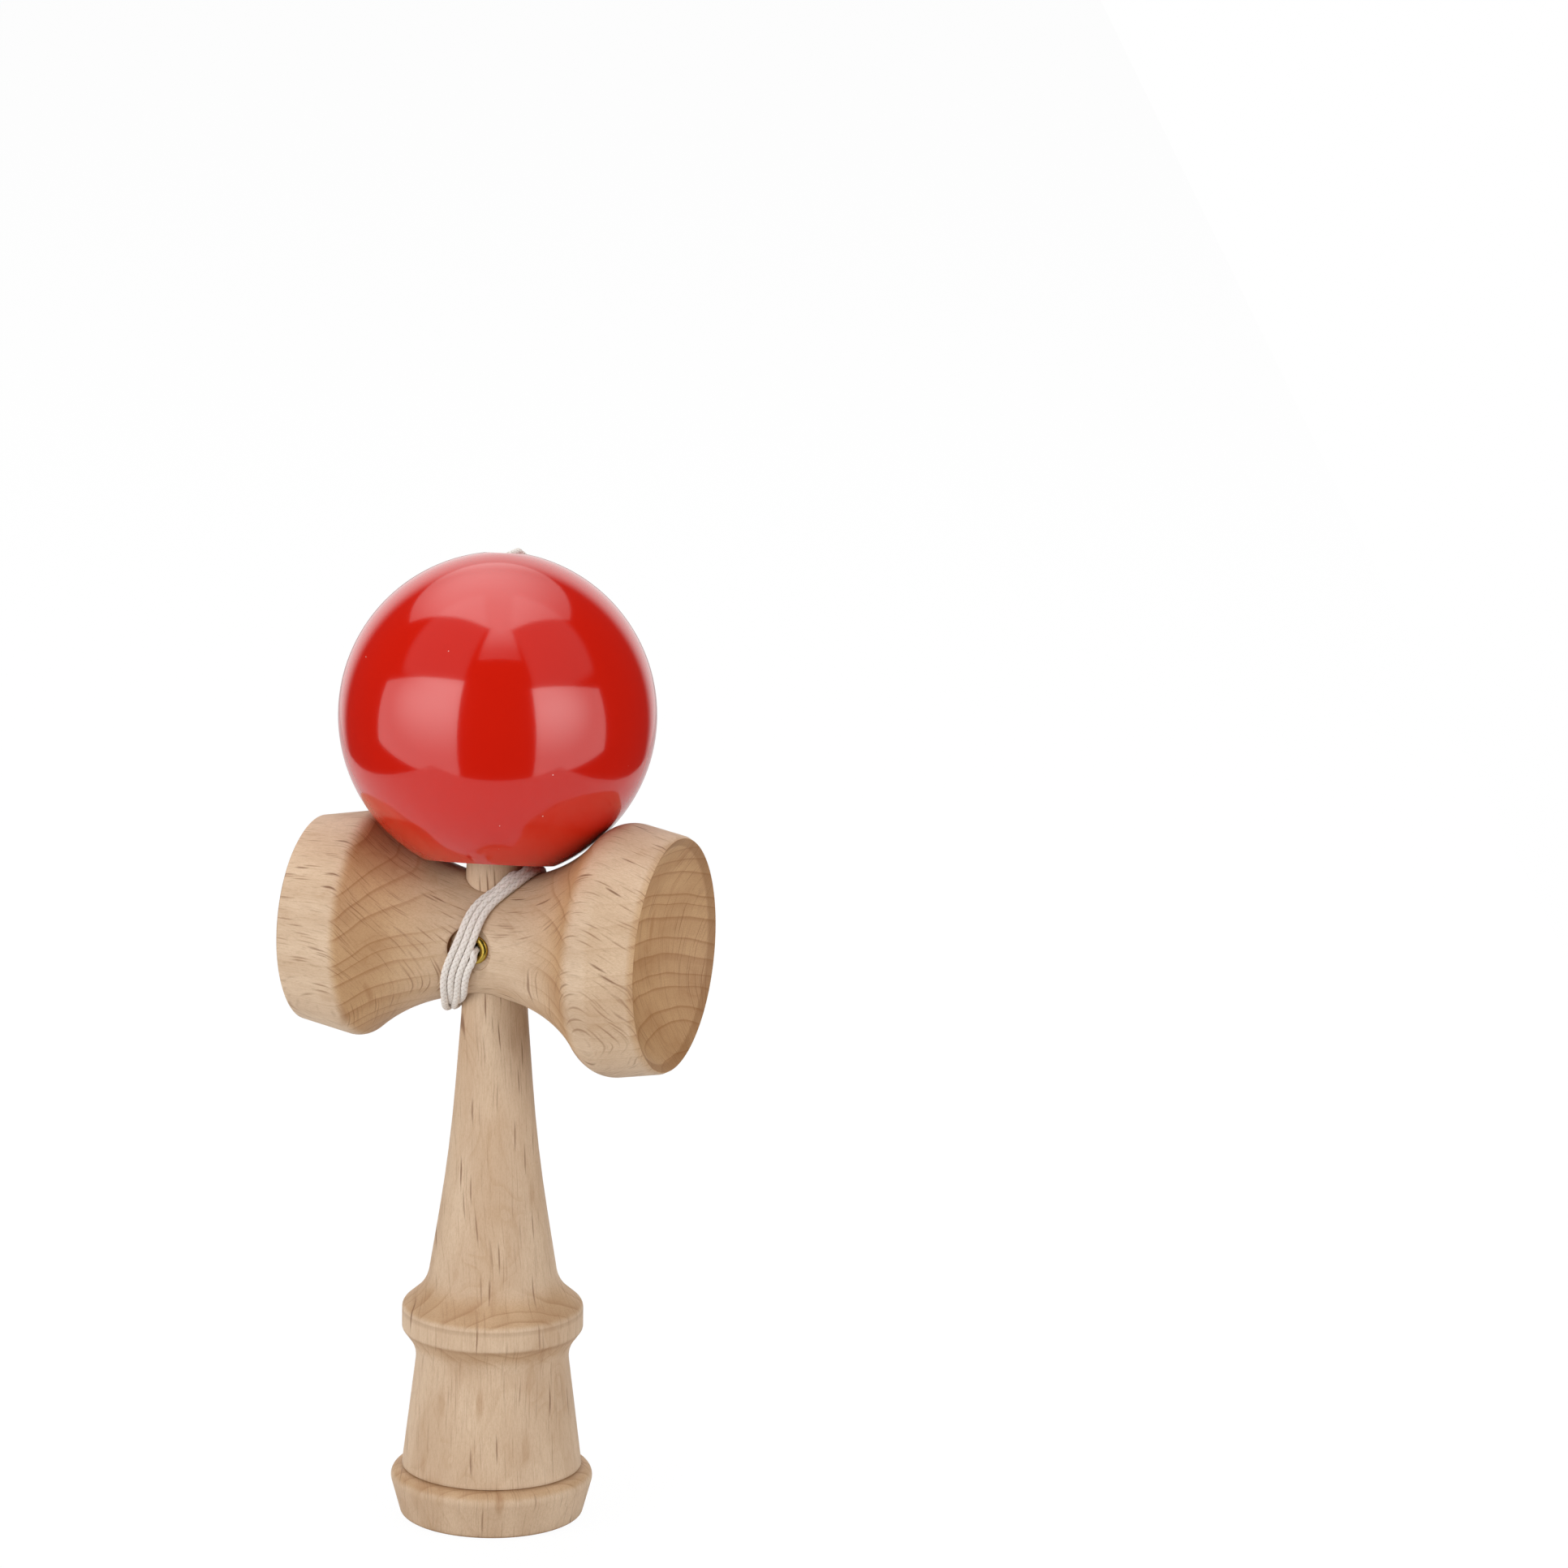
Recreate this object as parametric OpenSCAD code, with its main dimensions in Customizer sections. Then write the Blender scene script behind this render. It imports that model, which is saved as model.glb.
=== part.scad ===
// Kendama: a turned handle with a spike above and a cup in its foot, a cross-piece with two cups,
// and a bored ball that stands on the spike. A string ties the ball to the handle through an eyelet
// in the cross-piece, and its slack is wound round the waist of the cross-piece.
// Millimetres, +Z up, origin at the middle of the foot's rim. The big cup faces +X.

/* [Handle] */
// Radius of the foot's outer edge
foot_r = 17.4; // [17:0.1:18]
// Rounding of the foot's outer edge
foot_round = 0.8; // [0.4:0.1:1]
// Radius of the foot flange at its corner
flange_r = 19.75; // [19.2:0.05:20.5]
// Height of the flange's corner
flange_z = 8.6; // [8:0.1:9]
// Rounding of the flange's corner
flange_round = 2; // [1:0.1:2.2]
// Height of the groove above the flange
groove_z = 9.35; // [9.2:0.05:9.8]
// Depth of the groove above the flange
groove_depth = 0.35; // [0.2:0.05:0.5]
// Radius of the grip where it rises from the groove
grip_r = 17.2; // [16.6:0.1:17.6]
// Radius of the neck between the grip and the ring
neck_r = 14.35; // [13.5:0.05:15]
// Height of the neck
neck_z = 33; // [32:0.1:34]
// Rounding of the neck
neck_round = 6.5; // [4:0.5:7]
// Radius of the ring
ring_r = 17.3; // [16.8:0.1:18]
// Height of the ring's lower edge
ring_low_z = 37; // [36.5:0.1:37.5]
// Height of the ring's upper edge
ring_high_z = 41.6; // [41:0.1:42]
// Rounding of the ring's lower edge
ring_low_round = 1.2; // [0.6:0.1:1.5]
// Rounding of the ring's upper edge
ring_high_round = 0.7; // [0.4:0.1:1]
// Radius at the foot of the cove above the ring
cove_r = 12.6; // [12:0.1:13.2]
// Height of the cove's corner
cove_z = 45.6; // [45:0.1:46.5]
// Rounding of the cove
cove_round = 8; // [5:0.5:9]
// Radius of the shaft half-way up
shaft_mid_r = 8.3; // [7.8:0.1:8.8]
// Share of the way from the cove to the fine taper at which that radius is taken
shaft_mid_share = 0.4865; // [0.44:0.0005:0.54]
// Radius of the shaft under the cross-piece
shaft_top_r = 6.2; // [5.9:0.05:6.5]
// Length of the spike's fine taper below the cross-piece's axis
taper_below = 13.5; // [13:0.5:15]
// Radius of the spike where its nose starts
spike_r = 4.95; // [4.7:0.05:5.1]
// Length of the spike's nose
nose_len = 10; // [8:0.5:12]
// Radius of the spike's blunt tip
tip_r = 2.1; // [1.8:0.1:2.6]
// Height of the tip, the handle's whole length
handle_len = 160; // [158:0.5:162]
// Radius of the foot cup's mouth
foot_cup_r = 15.5; // [15:0.1:15.8]
// Depth of the foot cup
foot_cup_depth = 5.4; // [5:0.1:6.5]

/* [Cross-piece] */
// Length of the spike above the cross-piece's axis
spike_len = 46; // [45.5:0.1:46.5]
// Radius of the waist
waist_r = 11.45; // [11.3:0.05:11.7]
// Distance from the handle's axis to the big cup's rim
big_rim_x = 36.2; // [35.5:0.1:37]
// Outer radius of the big cup's rim
big_rim_r = 22.4; // [22.2:0.1:22.8]
// Lean of the band behind the big cup's rim, in degrees
big_band_lean = 10.1; // [9:0.1:11]
// Rounding of the shoulder behind the big cup
big_shoulder_round = 6.8; // [6:0.1:7]
// Radius of the hollow between the waist and the big cup
big_flare_round = 27.4; // [27:0.1:28]
// Angle at which the flare meets the big cup's shoulder
big_flare_angle = 50.9; // [50:0.1:51.5]
// Depth of the big cup
big_cup_depth = 9.2; // [8.5:0.1:11]
// Distance from the handle's axis to the small cup's rim
small_rim_x = 36.7; // [36:0.1:37.5]
// Outer radius of the small cup's rim
small_rim_r = 19.5; // [19.2:0.1:19.8]
// Lean of the band behind the small cup's rim, in degrees
small_band_lean = 10.4; // [9:0.1:11]
// Rounding of the shoulder behind the small cup
small_shoulder_round = 3.6; // [3:0.1:4]
// Radius of the hollow between the waist and the small cup
small_flare_round = 34.9; // [34.5:0.1:36]
// Angle at which the flare meets the small cup's shoulder
small_flare_angle = 42.2; // [42:0.1:43]
// Depth of the small cup
small_cup_depth = 7; // [6:0.1:8.5]
// Width of the flat land on a cup's rim
rim_land = 0.4; // [0.3:0.1:0.8]
// Rounding of a rim's outer edge
rim_round = 0.5; // [0.3:0.1:0.6]
// Width of the bevel inside a rim, square to the cup's axis
bevel_w = 1.2; // [0.8:0.1:1.6]
// Depth of that bevel along the cup's axis
bevel_depth = 0.8; // [0.5:0.1:1.2]
// Radius of the flat spot faced for the eyelet
spot_r = 4.8; // [4.2:0.1:5.2]
// Depth of that flat below the waist
spot_depth = 0.85; // [0.8:0.05:1]

/* [Ball] */
// Radius of the ball round its middle
ball_r = 30; // [29.8:0.05:30.2]
// How much further the ball reaches along its own axis
ball_stretch = 0.8; // [0.5:0.1:1]
// Radius of the hole that takes the spike
hole_r = 11; // [10.8:0.1:11.4]
// Width of the bevel round the hole's mouth
hole_bevel = 1.25; // [1:0.05:1.4]
// How far the hole reaches past the ball's middle
hole_past_middle = 20; // [19:0.5:21]
// Radius of the string's hole through the top
string_hole_r = 1.2; // [1:0.05:1.4]
// Radius of the countersink at the top of that hole
sink_r = 4; // [3.6:0.1:4.4]
// Depth of that countersink
sink_depth = 2.6; // [2:0.1:3]
// Lean of the ball on the spike, in degrees
ball_lean = 13; // [12:0.5:13.5]
// Heading of that lean, in degrees from the back towards the small cup
ball_heading = 10; // [5:1:12]
// How far the ball's middle lies behind the handle's axis
ball_back = 3.6; // [3.3:0.1:3.9]
// How far the ball's middle lies towards the big cup
ball_side = -1.2; // [-1.4:0.1:-1]

/* [Eyelet] */
// Radius of the eyelet's flange
eyelet_flange_r = 2.8; // [2.6:0.1:3.2]
// Thickness of the flange
eyelet_flange_t = 0.65; // [0.5:0.05:0.7]
// Radius of the eyelet's barrel
eyelet_barrel_r = 1.9; // [1.8:0.05:2.1]
// Share of the wood behind the flat that the barrel takes
eyelet_barrel_share = 0.725; // [0.64:0.005:0.85]
// Radius of the eyelet's bore
eyelet_bore_r = 1.3; // [1.2:0.05:1.4]

/* [Bead and knots] */
// Radius of the bead inside the ball
bead_r = 4; // [3.5:0.1:4.5]
// Radius of each knot
knot_r = 1.9; // [1.7:0.05:2.1]
// Length of each knot
knot_len = 3.2; // [2.8:0.1:3.5]
// Rounding of a knot's edges
knot_round = 0.9; // [0.5:0.1:1.1]

/* [String] */
// Diameter of the string
string_d = 1.35; // [1.2:0.05:1.4]
// Clear space between neighbouring turns
turn_gap = 0.43; // [0.42:0.01:0.48]
// How far the turns bunch where they pass the spike
wind_peak = 1.35; // [1:0.05:1.5]
// Sharpening of the turns at the spike and at the shaft
wind_third = 0.9; // [0.6:0.1:1]
// Number of turns from the eyelet to the back of the waist
wind_turns = 3.4; // [3.35:0.01:3.42]
// Radius at which the string bends out of the eyelet
exit_bend = 1.2; // [1.1:0.05:1.4]
// How far the string lies to one side in its hole
string_side = 0.4; // [0.2:0.05:0.4]

/* [Fits] */
// Clearance between the spike's taper and its bore in the cross-piece
fit_gap = 0.05; // [0.03:0.01:0.1]
// Clearance under the ball where it stands on the flares
seat_gap = 0.75; // [0.5:0.05:0.8]
// Clearance between the string and the wood that it lies on
string_gap = 0.22; // [0.18:0.01:0.3]
// Clearance between the string and the ball
ball_gap = 0.3; // [0.25:0.05:0.5]
// Clearance round a knot and above the bead
knot_gap = 0.3; // [0.2:0.05:0.4]
// Clearance round the string in its holes
hole_gap = 0.5; // [0.45:0.05:0.6]

/* [Hidden] */
$fn = 96;
beech = "#d3ab85";
beech_dark = "#c79d74";
lacquer = "#c8200f";
brass = "#c29a2c";
cotton = "#e9e2da";
bead_colour = "#d8b98f";
// Overrun of every cut past the face that it opens
over = 1;
// Largest step along a rounded corner, in degrees
corner_step = 6;
// Degrees between the points of the ball's outline
ball_step = 2.5;
// Sides of the wound tube, of the free tube, and rings to one turn
wound_sides = 6;
free_sides = 8;
turn_rings = 24;
// Shares of the shorter stretch beside them that the shaft's two long bends take
shaft_mid_bend_share = 0.475;
shaft_top_bend_share = 0.13;
// Roundings of the spike's nose
spike_round = 12;
tip_round = 2.2;
// Slack of the winding beside the spike and beside the shaft
spike_slack = 0.62;
shaft_slack = 0.1;
// Share of the flange's thickness that its outer edge is rounded by
lip_share = 0.9;
// Radius of the string's bend over the top of the ball
top_bend = 3.2;
// Pitches that the winding gains from the shaft to the spike, and by which its middle lies to one side
swing_turns = 2.5;
mid_turns = 3;
// Turn at which the string leaves its bend and follows the winding
wind_start = 0.1;
// Part of a turn over which the winding's way is measured
turn_step = 0.004;
// Angles from the ball's top at which the string meets the ball's back and leaves for the hole
back_angle = 100;
top_angle = 13;

string_r = string_d / 2;
pitch = string_d + turn_gap;

function unit(v) = v / norm(v);
function along(a, b, share) = a + (b - a) * share;

// Outlines: each station is [radius, height, rounding], and a rounded one becomes an arc
function corner(a, b, c, rad) =
    let (
        u = unit(a - b),
        v = unit(c - b),
        half = acos(max(-1, min(1, u * v))) / 2,
        middle = b + unit(u + v) * rad / sin(half),
        first = b + u * rad / tan(half) - middle,
        start = atan2(first[1], first[0]),
        way = u[0] * v[1] - u[1] * v[0] > 0 ? -1 : 1,
        sweep = 180 - 2 * half,
        steps = max(2, ceil(sweep / corner_step))
    )
    [for (i = [0:steps]) middle + rad * [cos(start + way * sweep * i / steps), sin(start + way * sweep * i / steps)]];
// Rounding of a long bend that takes a share of the shorter stretch beside it
function bend_round(a, b, c, share) =
    share * min(norm(a - b), norm(c - b)) * tan(acos(unit(a - b) * unit(c - b)) / 2);
function flat2(s) = [s[0], s[1]];
function outline(st) = [
    for (i = [0:len(st) - 1])
        each (st[i][2] == 0 ? [flat2(st[i])] : corner(flat2(st[i - 1]), flat2(st[i]), flat2(st[i + 1]), st[i][2]))
];

// Handle: the fine taper that runs through the cross-piece
spike_z = handle_len - nose_len;
cross_z = handle_len - spike_len;
shaft_top_z = cross_z - taper_below;
shaft_mid_z = along(cove_z, shaft_top_z, shaft_mid_share);
function taper_r(z) = shaft_top_r + (spike_r - shaft_top_r) * (z - shaft_top_z) / (spike_z - shaft_top_z);
cove = [cove_r, cove_z];
shaft_mid = [shaft_mid_r, shaft_mid_z];
shaft_top = [shaft_top_r, shaft_top_z];
spike = [spike_r, spike_z];
handle_stations = [
    [0, 0, 0],
    [foot_r, 0, foot_round],
    [flange_r, flange_z, flange_round],
    [grip_r, groove_z, 0],
    [grip_r - groove_depth, groove_z + groove_depth / 2, 0],
    [grip_r, groove_z + groove_depth, 0],
    [neck_r, neck_z, neck_round],
    [ring_r, ring_low_z, ring_low_round],
    [ring_r, ring_high_z, ring_high_round],
    [cove_r, cove_z, cove_round],
    [shaft_mid_r, shaft_mid_z, bend_round(cove, shaft_mid, shaft_top, shaft_mid_bend_share)],
    [shaft_top_r, shaft_top_z, bend_round(shaft_mid, shaft_top, spike, shaft_top_bend_share)],
    [spike_r, spike_z, spike_round],
    [tip_r, handle_len, tip_round],
    [0, handle_len, 0]
];
foot_cup_sphere = (foot_cup_r * foot_cup_r + foot_cup_depth * foot_cup_depth) / (2 * foot_cup_depth);
cross_r = taper_r(cross_z);
string_way_r = string_r + hole_gap;
knot_pocket_r = knot_r + knot_gap;
knot_y = cross_r - knot_len - 2 * knot_gap;

// Cross-piece: the corner where a flare starts, and the corner where it meets its band
function flare_start(round, angle) = round * tan(angle / 2);
function shoulder_x(rim_x, rim_r, lean, round, angle) =
    let (x0 = flare_start(round, angle))
    (rim_r + rim_x * tan(lean) - waist_r + x0 * tan(angle)) / (tan(angle) + tan(lean));
function shoulder_r(rim_x, rim_r, lean, round, angle) =
    rim_r + (rim_x - shoulder_x(rim_x, rim_r, lean, round, angle)) * tan(lean);
big_x = shoulder_x(big_rim_x, big_rim_r, big_band_lean, big_flare_round, big_flare_angle);
big_r = shoulder_r(big_rim_x, big_rim_r, big_band_lean, big_flare_round, big_flare_angle);
small_x = shoulder_x(small_rim_x, small_rim_r, small_band_lean, small_flare_round, small_flare_angle);
small_r = shoulder_r(small_rim_x, small_rim_r, small_band_lean, small_flare_round, small_flare_angle);
cross_stations = [
    [0, -small_rim_x, 0],
    [small_rim_r, -small_rim_x, rim_round],
    [small_r, -small_x, small_shoulder_round],
    [waist_r, -flare_start(small_flare_round, small_flare_angle), small_flare_round],
    [waist_r, flare_start(big_flare_round, big_flare_angle), big_flare_round],
    [big_r, big_x, big_shoulder_round],
    [big_rim_r, big_rim_x, rim_round],
    [0, big_rim_x, 0]
];
cross_outline = outline(cross_stations);
spot_y = waist_r - spot_depth;
eyelet_barrel_len = eyelet_barrel_share * (spot_y - cross_r - fit_gap);
eyelet_hole_r = eyelet_barrel_r + fit_gap;

// Ball: it stands as low as the flares allow, leaning over the spike
ball_polar_r = ball_r + ball_stretch;
ball_seat_r = ball_r + ball_stretch / 2;
function rest_height(p) =
    let (
        reach = ball_seat_r + seat_gap,
        dx = p[1] - ball_side
    )
    abs(dx) < reach ? sqrt(pow(p[0] + sqrt(reach * reach - dx * dx), 2) - ball_back * ball_back) : 0;
ball_z = cross_z + max([for (p = cross_outline) rest_height(p)]);
ball_c = [ball_side, ball_back, ball_z];
ball_axis = [-sin(ball_lean) * sin(ball_heading), sin(ball_lean) * cos(ball_heading), cos(ball_lean)];
// The ball's outline is an arc whose middle lies a little past the axis, so that it is longer than wide
arc_shift = (ball_polar_r * ball_polar_r - ball_r * ball_r) / (2 * ball_r);
arc_r = ball_r + arc_shift;
arc_end = acos(arc_shift / arc_r);
arc_steps = round(2 * arc_end / ball_step);
ball_outline = [for (i = [0:arc_steps]) let (a = along(-arc_end, arc_end, i / arc_steps))
    [max(0, arc_r * cos(a) - arc_shift), arc_r * sin(a)]];
mouth_r = hole_r + hole_bevel;
mouth_s = -sqrt(arc_r * arc_r - pow(mouth_r + arc_shift, 2));
bead_s = hole_past_middle - knot_gap - bead_r;
sink_s = ball_polar_r - sink_depth;
meet_s = sink_s - string_d;

// Winding: the way across the waist at an angle, the sideways rate, and the string's middle line
string_off = string_r + string_gap;
spike_side = taper_r(cross_z + waist_r + string_off) + string_off + spike_slack;
shaft_side = taper_r(cross_z - waist_r - string_off) + string_off + shaft_slack;
wind_swing = (spike_side + shaft_side + swing_turns * pitch) / 2 - wind_third;
wind_mid = (spike_side - shaft_side + mid_turns * pitch) / 2 - wind_peak;
function across(a) = wind_mid + wind_swing * sin(a) - wind_peak * cos(2 * a) - wind_third * sin(3 * a);
function across_rate(a) = wind_swing * cos(a) + 2 * wind_peak * sin(2 * a) - 3 * wind_third * cos(3 * a);
function flare_of(x) = x > 0 ? big_flare_round : small_flare_round;
function lie_r(x) =
    let (f = flare_of(x))
    waist_r + f - sqrt(pow(f - string_off, 2) - x * x);
// Each turn lies one pitch beside the turn before, measured square to the string
function lead(rate) = pitch * sqrt(1 + pow(rate / (waist_r + string_off), 2));
function side(t) = t < 1 ? across(-360 * t) - t * lead(across_rate(-360 * t)) : side(t - 1) - lead(side_rate(t - 1));
function side_rate(t) = (side(t + turn_step) - side(t - turn_step)) / (4 * PI * turn_step);
function wound(t) =
    let (
        a = -360 * t,
        x = side(t),
        r = lie_r(x)
    )
    [x, -r * cos(a), cross_z + r * sin(a)];
function wound_way(t) = unit(wound(t + turn_step) - wound(t - turn_step));

// A smooth join of two points that leaves and arrives along given directions
function join(a, da, b, db, pull, s) =
    let (
        s2 = s * s,
        s3 = s2 * s
    )
    a * (2 * s3 - 3 * s2 + 1) + da * pull * (s3 - 2 * s2 + s) + b * (3 * s2 - 2 * s3) + db * pull * (s3 - s2);

face_y = spot_y + eyelet_flange_t;
exit_y = face_y + 2 * string_gap;
joint_y = exit_y - string_d;
exit_steps = 3;
join_steps = 5;
bend_end = [string_side, -exit_y - exit_bend, cross_z - exit_bend];
join_start = wound(wind_start);
wind_rings = round((wind_turns - wind_start) * turn_rings);
wind_end = wound(wind_turns);
wind_end_way = wound_way(wind_turns);
leave = wind_end + wind_end_way * string_d;
wind_points = concat(
    [[string_side, -joint_y, cross_z]],
    [for (i = [0:exit_steps]) let (b = 90 * i / exit_steps)
        [string_side, -exit_y - exit_bend * sin(b), cross_z - exit_bend * (1 - cos(b))]],
    [for (i = [1:join_steps - 1]) join(bend_end, [0, 0, -1], join_start, wound_way(wind_start),
        norm(join_start - bend_end), i / join_steps)],
    [for (i = [0:wind_rings]) wound(along(wind_start, wind_turns, i / wind_rings))],
    [leave]
);

// Free stretch: from the back of the waist to the ball's back, over it and into the hole at its top
back_way = unit([0, 1, 0] - ball_axis * ball_axis[1]);
function over_ball(a) =
    ball_c + (ball_axis * cos(a) + back_way * sin(a))
        * (ball_r + ball_stretch * cos(a) * cos(a) + string_r + ball_gap);
function over_way(a) = ball_axis * sin(a) - back_way * cos(a);
free_steps = 14;
back_steps = 14;
top_steps = 4;
hook_s = sink_s + top_bend;
free_start = leave + wind_end_way * string_d;
hook_start = ball_c + ball_axis * hook_s + back_way * top_bend;
free_points = concat(
    [leave],
    [for (i = [0:free_steps]) join(free_start, wind_end_way, over_ball(back_angle), over_way(back_angle),
        norm(over_ball(back_angle) - free_start), i / free_steps)],
    [for (i = [1:back_steps]) over_ball(along(back_angle, top_angle, i / back_steps))],
    [for (i = [0:top_steps]) let (b = 90 * i / top_steps)
        hook_start - back_way * top_bend * sin(b) - ball_axis * top_bend * (1 - cos(b))],
    [ball_c + ball_axis * meet_s]
);

// The least gap between turns of the winding, measured on points of its middle line
gap_rings = 72;
gap_points = [for (i = [0:round((wind_turns - wind_start) * gap_rings)]) wound(wind_start + i / gap_rings)];
gap_skip = gap_rings / 2;
wind_gap = min([for (i = [0:len(gap_points) - 1 - gap_skip])
    min([for (j = [i + gap_skip:len(gap_points) - 1]) norm(gap_points[i] - gap_points[j])])]) - string_d;
echo(str("least gap between turns of the winding: ", wind_gap, " mm"));
function sum(v) = v * [for (i = v) 1];
function path_len(p) = sum([for (i = [1:len(p) - 1]) norm(p[i] - p[i - 1])]);
string_len = path_len(wind_points) + path_len(free_points) + meet_s - bead_s + bead_r + joint_y + knot_y;
echo(str("string between its knots: ", string_len, " mm"));
echo(str("ball's middle: ", ball_c, " axis: ", ball_axis, " mouth: ", mouth_s));

// A tube along points, each ring square to the way there and turned from the cross-piece's axis
function way_at(p, i) =
    i == 0 ? unit(p[1] - p[0]) : i == len(p) - 1 ? unit(p[i] - p[i - 1]) : unit(unit(p[i + 1] - p[i]) + unit(p[i] - p[i - 1]));
function ring_at(p, i, rad, sides) =
    let (
        w = way_at(p, i),
        u = unit([1, 0, 0] - w * w[0]),
        v = cross(w, u)
    )
    [for (k = [0:sides - 1]) p[i] + rad * (u * cos(360 * k / sides) + v * sin(360 * k / sides))];
module tube(p, rad, sides) {
    n = len(p);
    points = [for (i = [0:n - 1]) each ring_at(p, i, rad, sides)];
    walls = [for (i = [0:n - 2]) for (k = [0:sides - 1]) let (m = (k + 1) % sides)
        each [[i * sides + k, (i + 1) * sides + m, i * sides + m], [i * sides + k, (i + 1) * sides + k, (i + 1) * sides + m]]];
    first = [for (k = [1:sides - 2]) [0, k, k + 1]];
    last = [for (k = [1:sides - 2]) [(n - 1) * sides, (n - 1) * sides + k + 1, (n - 1) * sides + k]];
    polyhedron(points = points, faces = concat(walls, first, last), convexity = 10);
}

module on_cross() {
    translate([0, 0, cross_z]) rotate([0, 90, 0]) children();
}

module to_front() {
    translate([0, 0, cross_z]) rotate([90, 0, 0]) children();
}

module on_ball() {
    translate(ball_c) rotate([0, 0, ball_heading]) rotate([-ball_lean, 0, 0]) children();
}

module knot() {
    rotate_extrude() polygon(outline([[0, 0, 0], [knot_r, 0, knot_round], [knot_r, knot_len, knot_round], [0, knot_len, 0]]));
}

// A cup's hollow, opening upwards at the origin: the bevel inside the rim, then the bowl
module cup_hollow(rim, depth) {
    mouth = rim - rim_land - bevel_w;
    bowl = (mouth * mouth + depth * depth) / (2 * depth);
    slope = bevel_w / bevel_depth;
    translate([0, 0, -bevel_depth]) cylinder(h = bevel_depth + over, r1 = mouth, r2 = mouth + slope * (bevel_depth + over));
    translate([0, 0, bowl - depth - bevel_depth]) sphere(r = bowl);
}

module handle() {
    color(beech) difference() {
        rotate_extrude() polygon(outline(handle_stations));
        translate([0, 0, foot_cup_depth - foot_cup_sphere]) sphere(r = foot_cup_sphere);
        to_front() translate([0, 0, -cross_r]) cylinder(h = 2 * cross_r + over, r = string_way_r);
        to_front() translate([0, 0, -cross_r - over]) cylinder(h = cross_r - knot_y + over, r = knot_pocket_r);
    }
}

module cross_piece() {
    reach = waist_r + over;
    color(beech_dark) difference() {
        on_cross() rotate_extrude() polygon(cross_outline);
        on_cross() translate([0, 0, big_rim_x]) cup_hollow(big_rim_r, big_cup_depth);
        on_cross() mirror([0, 0, 1]) translate([0, 0, small_rim_x]) cup_hollow(small_rim_r, small_cup_depth);
        translate([0, 0, cross_z - reach])
            cylinder(h = 2 * reach, r1 = taper_r(cross_z - reach) + fit_gap, r2 = taper_r(cross_z + reach) + fit_gap);
        to_front() translate([0, 0, spot_y]) cylinder(h = spot_y, r = spot_r);
        to_front() translate([0, 0, spot_y - eyelet_barrel_len - fit_gap])
            cylinder(h = eyelet_barrel_len + fit_gap + spot_depth, r = eyelet_hole_r);
        to_front() cylinder(h = spot_y, r = string_way_r);
    }
}

module ball() {
    color(lacquer) on_ball() difference() {
        rotate_extrude() polygon(ball_outline);
        translate([0, 0, -ball_polar_r - over]) cylinder(h = ball_polar_r + over + hole_past_middle, r = hole_r);
        translate([0, 0, mouth_s - over])
            cylinder(h = hole_bevel + over, r1 = mouth_r + over, r2 = hole_r);
        cylinder(h = ball_polar_r + over, r = string_hole_r);
        translate([0, 0, sink_s])
            cylinder(h = sink_depth + over, r1 = string_hole_r, r2 = string_hole_r + (sink_r - string_hole_r) * (sink_depth + over) / sink_depth);
    }
}

module eyelet() {
    color(brass) to_front() translate([0, 0, spot_y]) difference() {
        union() {
            translate([0, 0, -eyelet_barrel_len]) cylinder(h = eyelet_barrel_len + eyelet_flange_t / 2, r = eyelet_barrel_r);
            rotate_extrude() polygon(outline([
                [0, 0, 0],
                [eyelet_flange_r, 0, 0],
                [eyelet_flange_r, eyelet_flange_t, eyelet_flange_t * lip_share],
                [0, eyelet_flange_t, 0]
            ]));
        }
        translate([0, 0, -eyelet_barrel_len - over])
            cylinder(h = eyelet_barrel_len + eyelet_flange_t + 2 * over, r = eyelet_bore_r);
        translate([0, 0, eyelet_flange_t / 2])
            cylinder(h = eyelet_flange_t, r1 = eyelet_bore_r, r2 = eyelet_bore_r + eyelet_flange_t);
    }
}

module bead() {
    color(bead_colour) on_ball() translate([0, 0, bead_s]) difference() {
        sphere(r = bead_r);
        translate([0, 0, -bead_r - over]) cylinder(h = 2 * (bead_r + over), r = string_r + hole_gap / 2);
    }
}

module anchor_knot() {
    color(cotton) to_front() translate([0, 0, -knot_y - knot_len]) knot();
}

module string_in_handle() {
    color(cotton) to_front() translate([string_side, 0, -knot_y]) cylinder(h = knot_y + joint_y, r = string_r);
}

module string_winding() {
    color(cotton) tube(wind_points, string_r, wound_sides);
}

module string_to_ball() {
    color(cotton) tube(free_points, string_r, free_sides);
}

module string_in_ball() {
    color(cotton) on_ball() translate([0, 0, bead_s - bead_r]) cylinder(h = meet_s - bead_s + bead_r, r = string_r);
}

module bead_knot() {
    color(cotton) on_ball() translate([0, 0, bead_s - bead_r - knot_len]) knot();
}

handle();
cross_piece();
ball();
eyelet();
bead();
anchor_knot();
string_in_handle();
string_winding();
string_to_ball();
string_in_ball();
bead_knot();
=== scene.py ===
"""Kendama: turned beech handle and cross-piece, red lacquered ball, brass eyelet and braided cotton string.

The shape functions work in millimetres in the CAD frame, with +Z up the handle and +X towards the big cup.
"""

import math

import bpy
import numpy as np
from mathutils import Matrix


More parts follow.
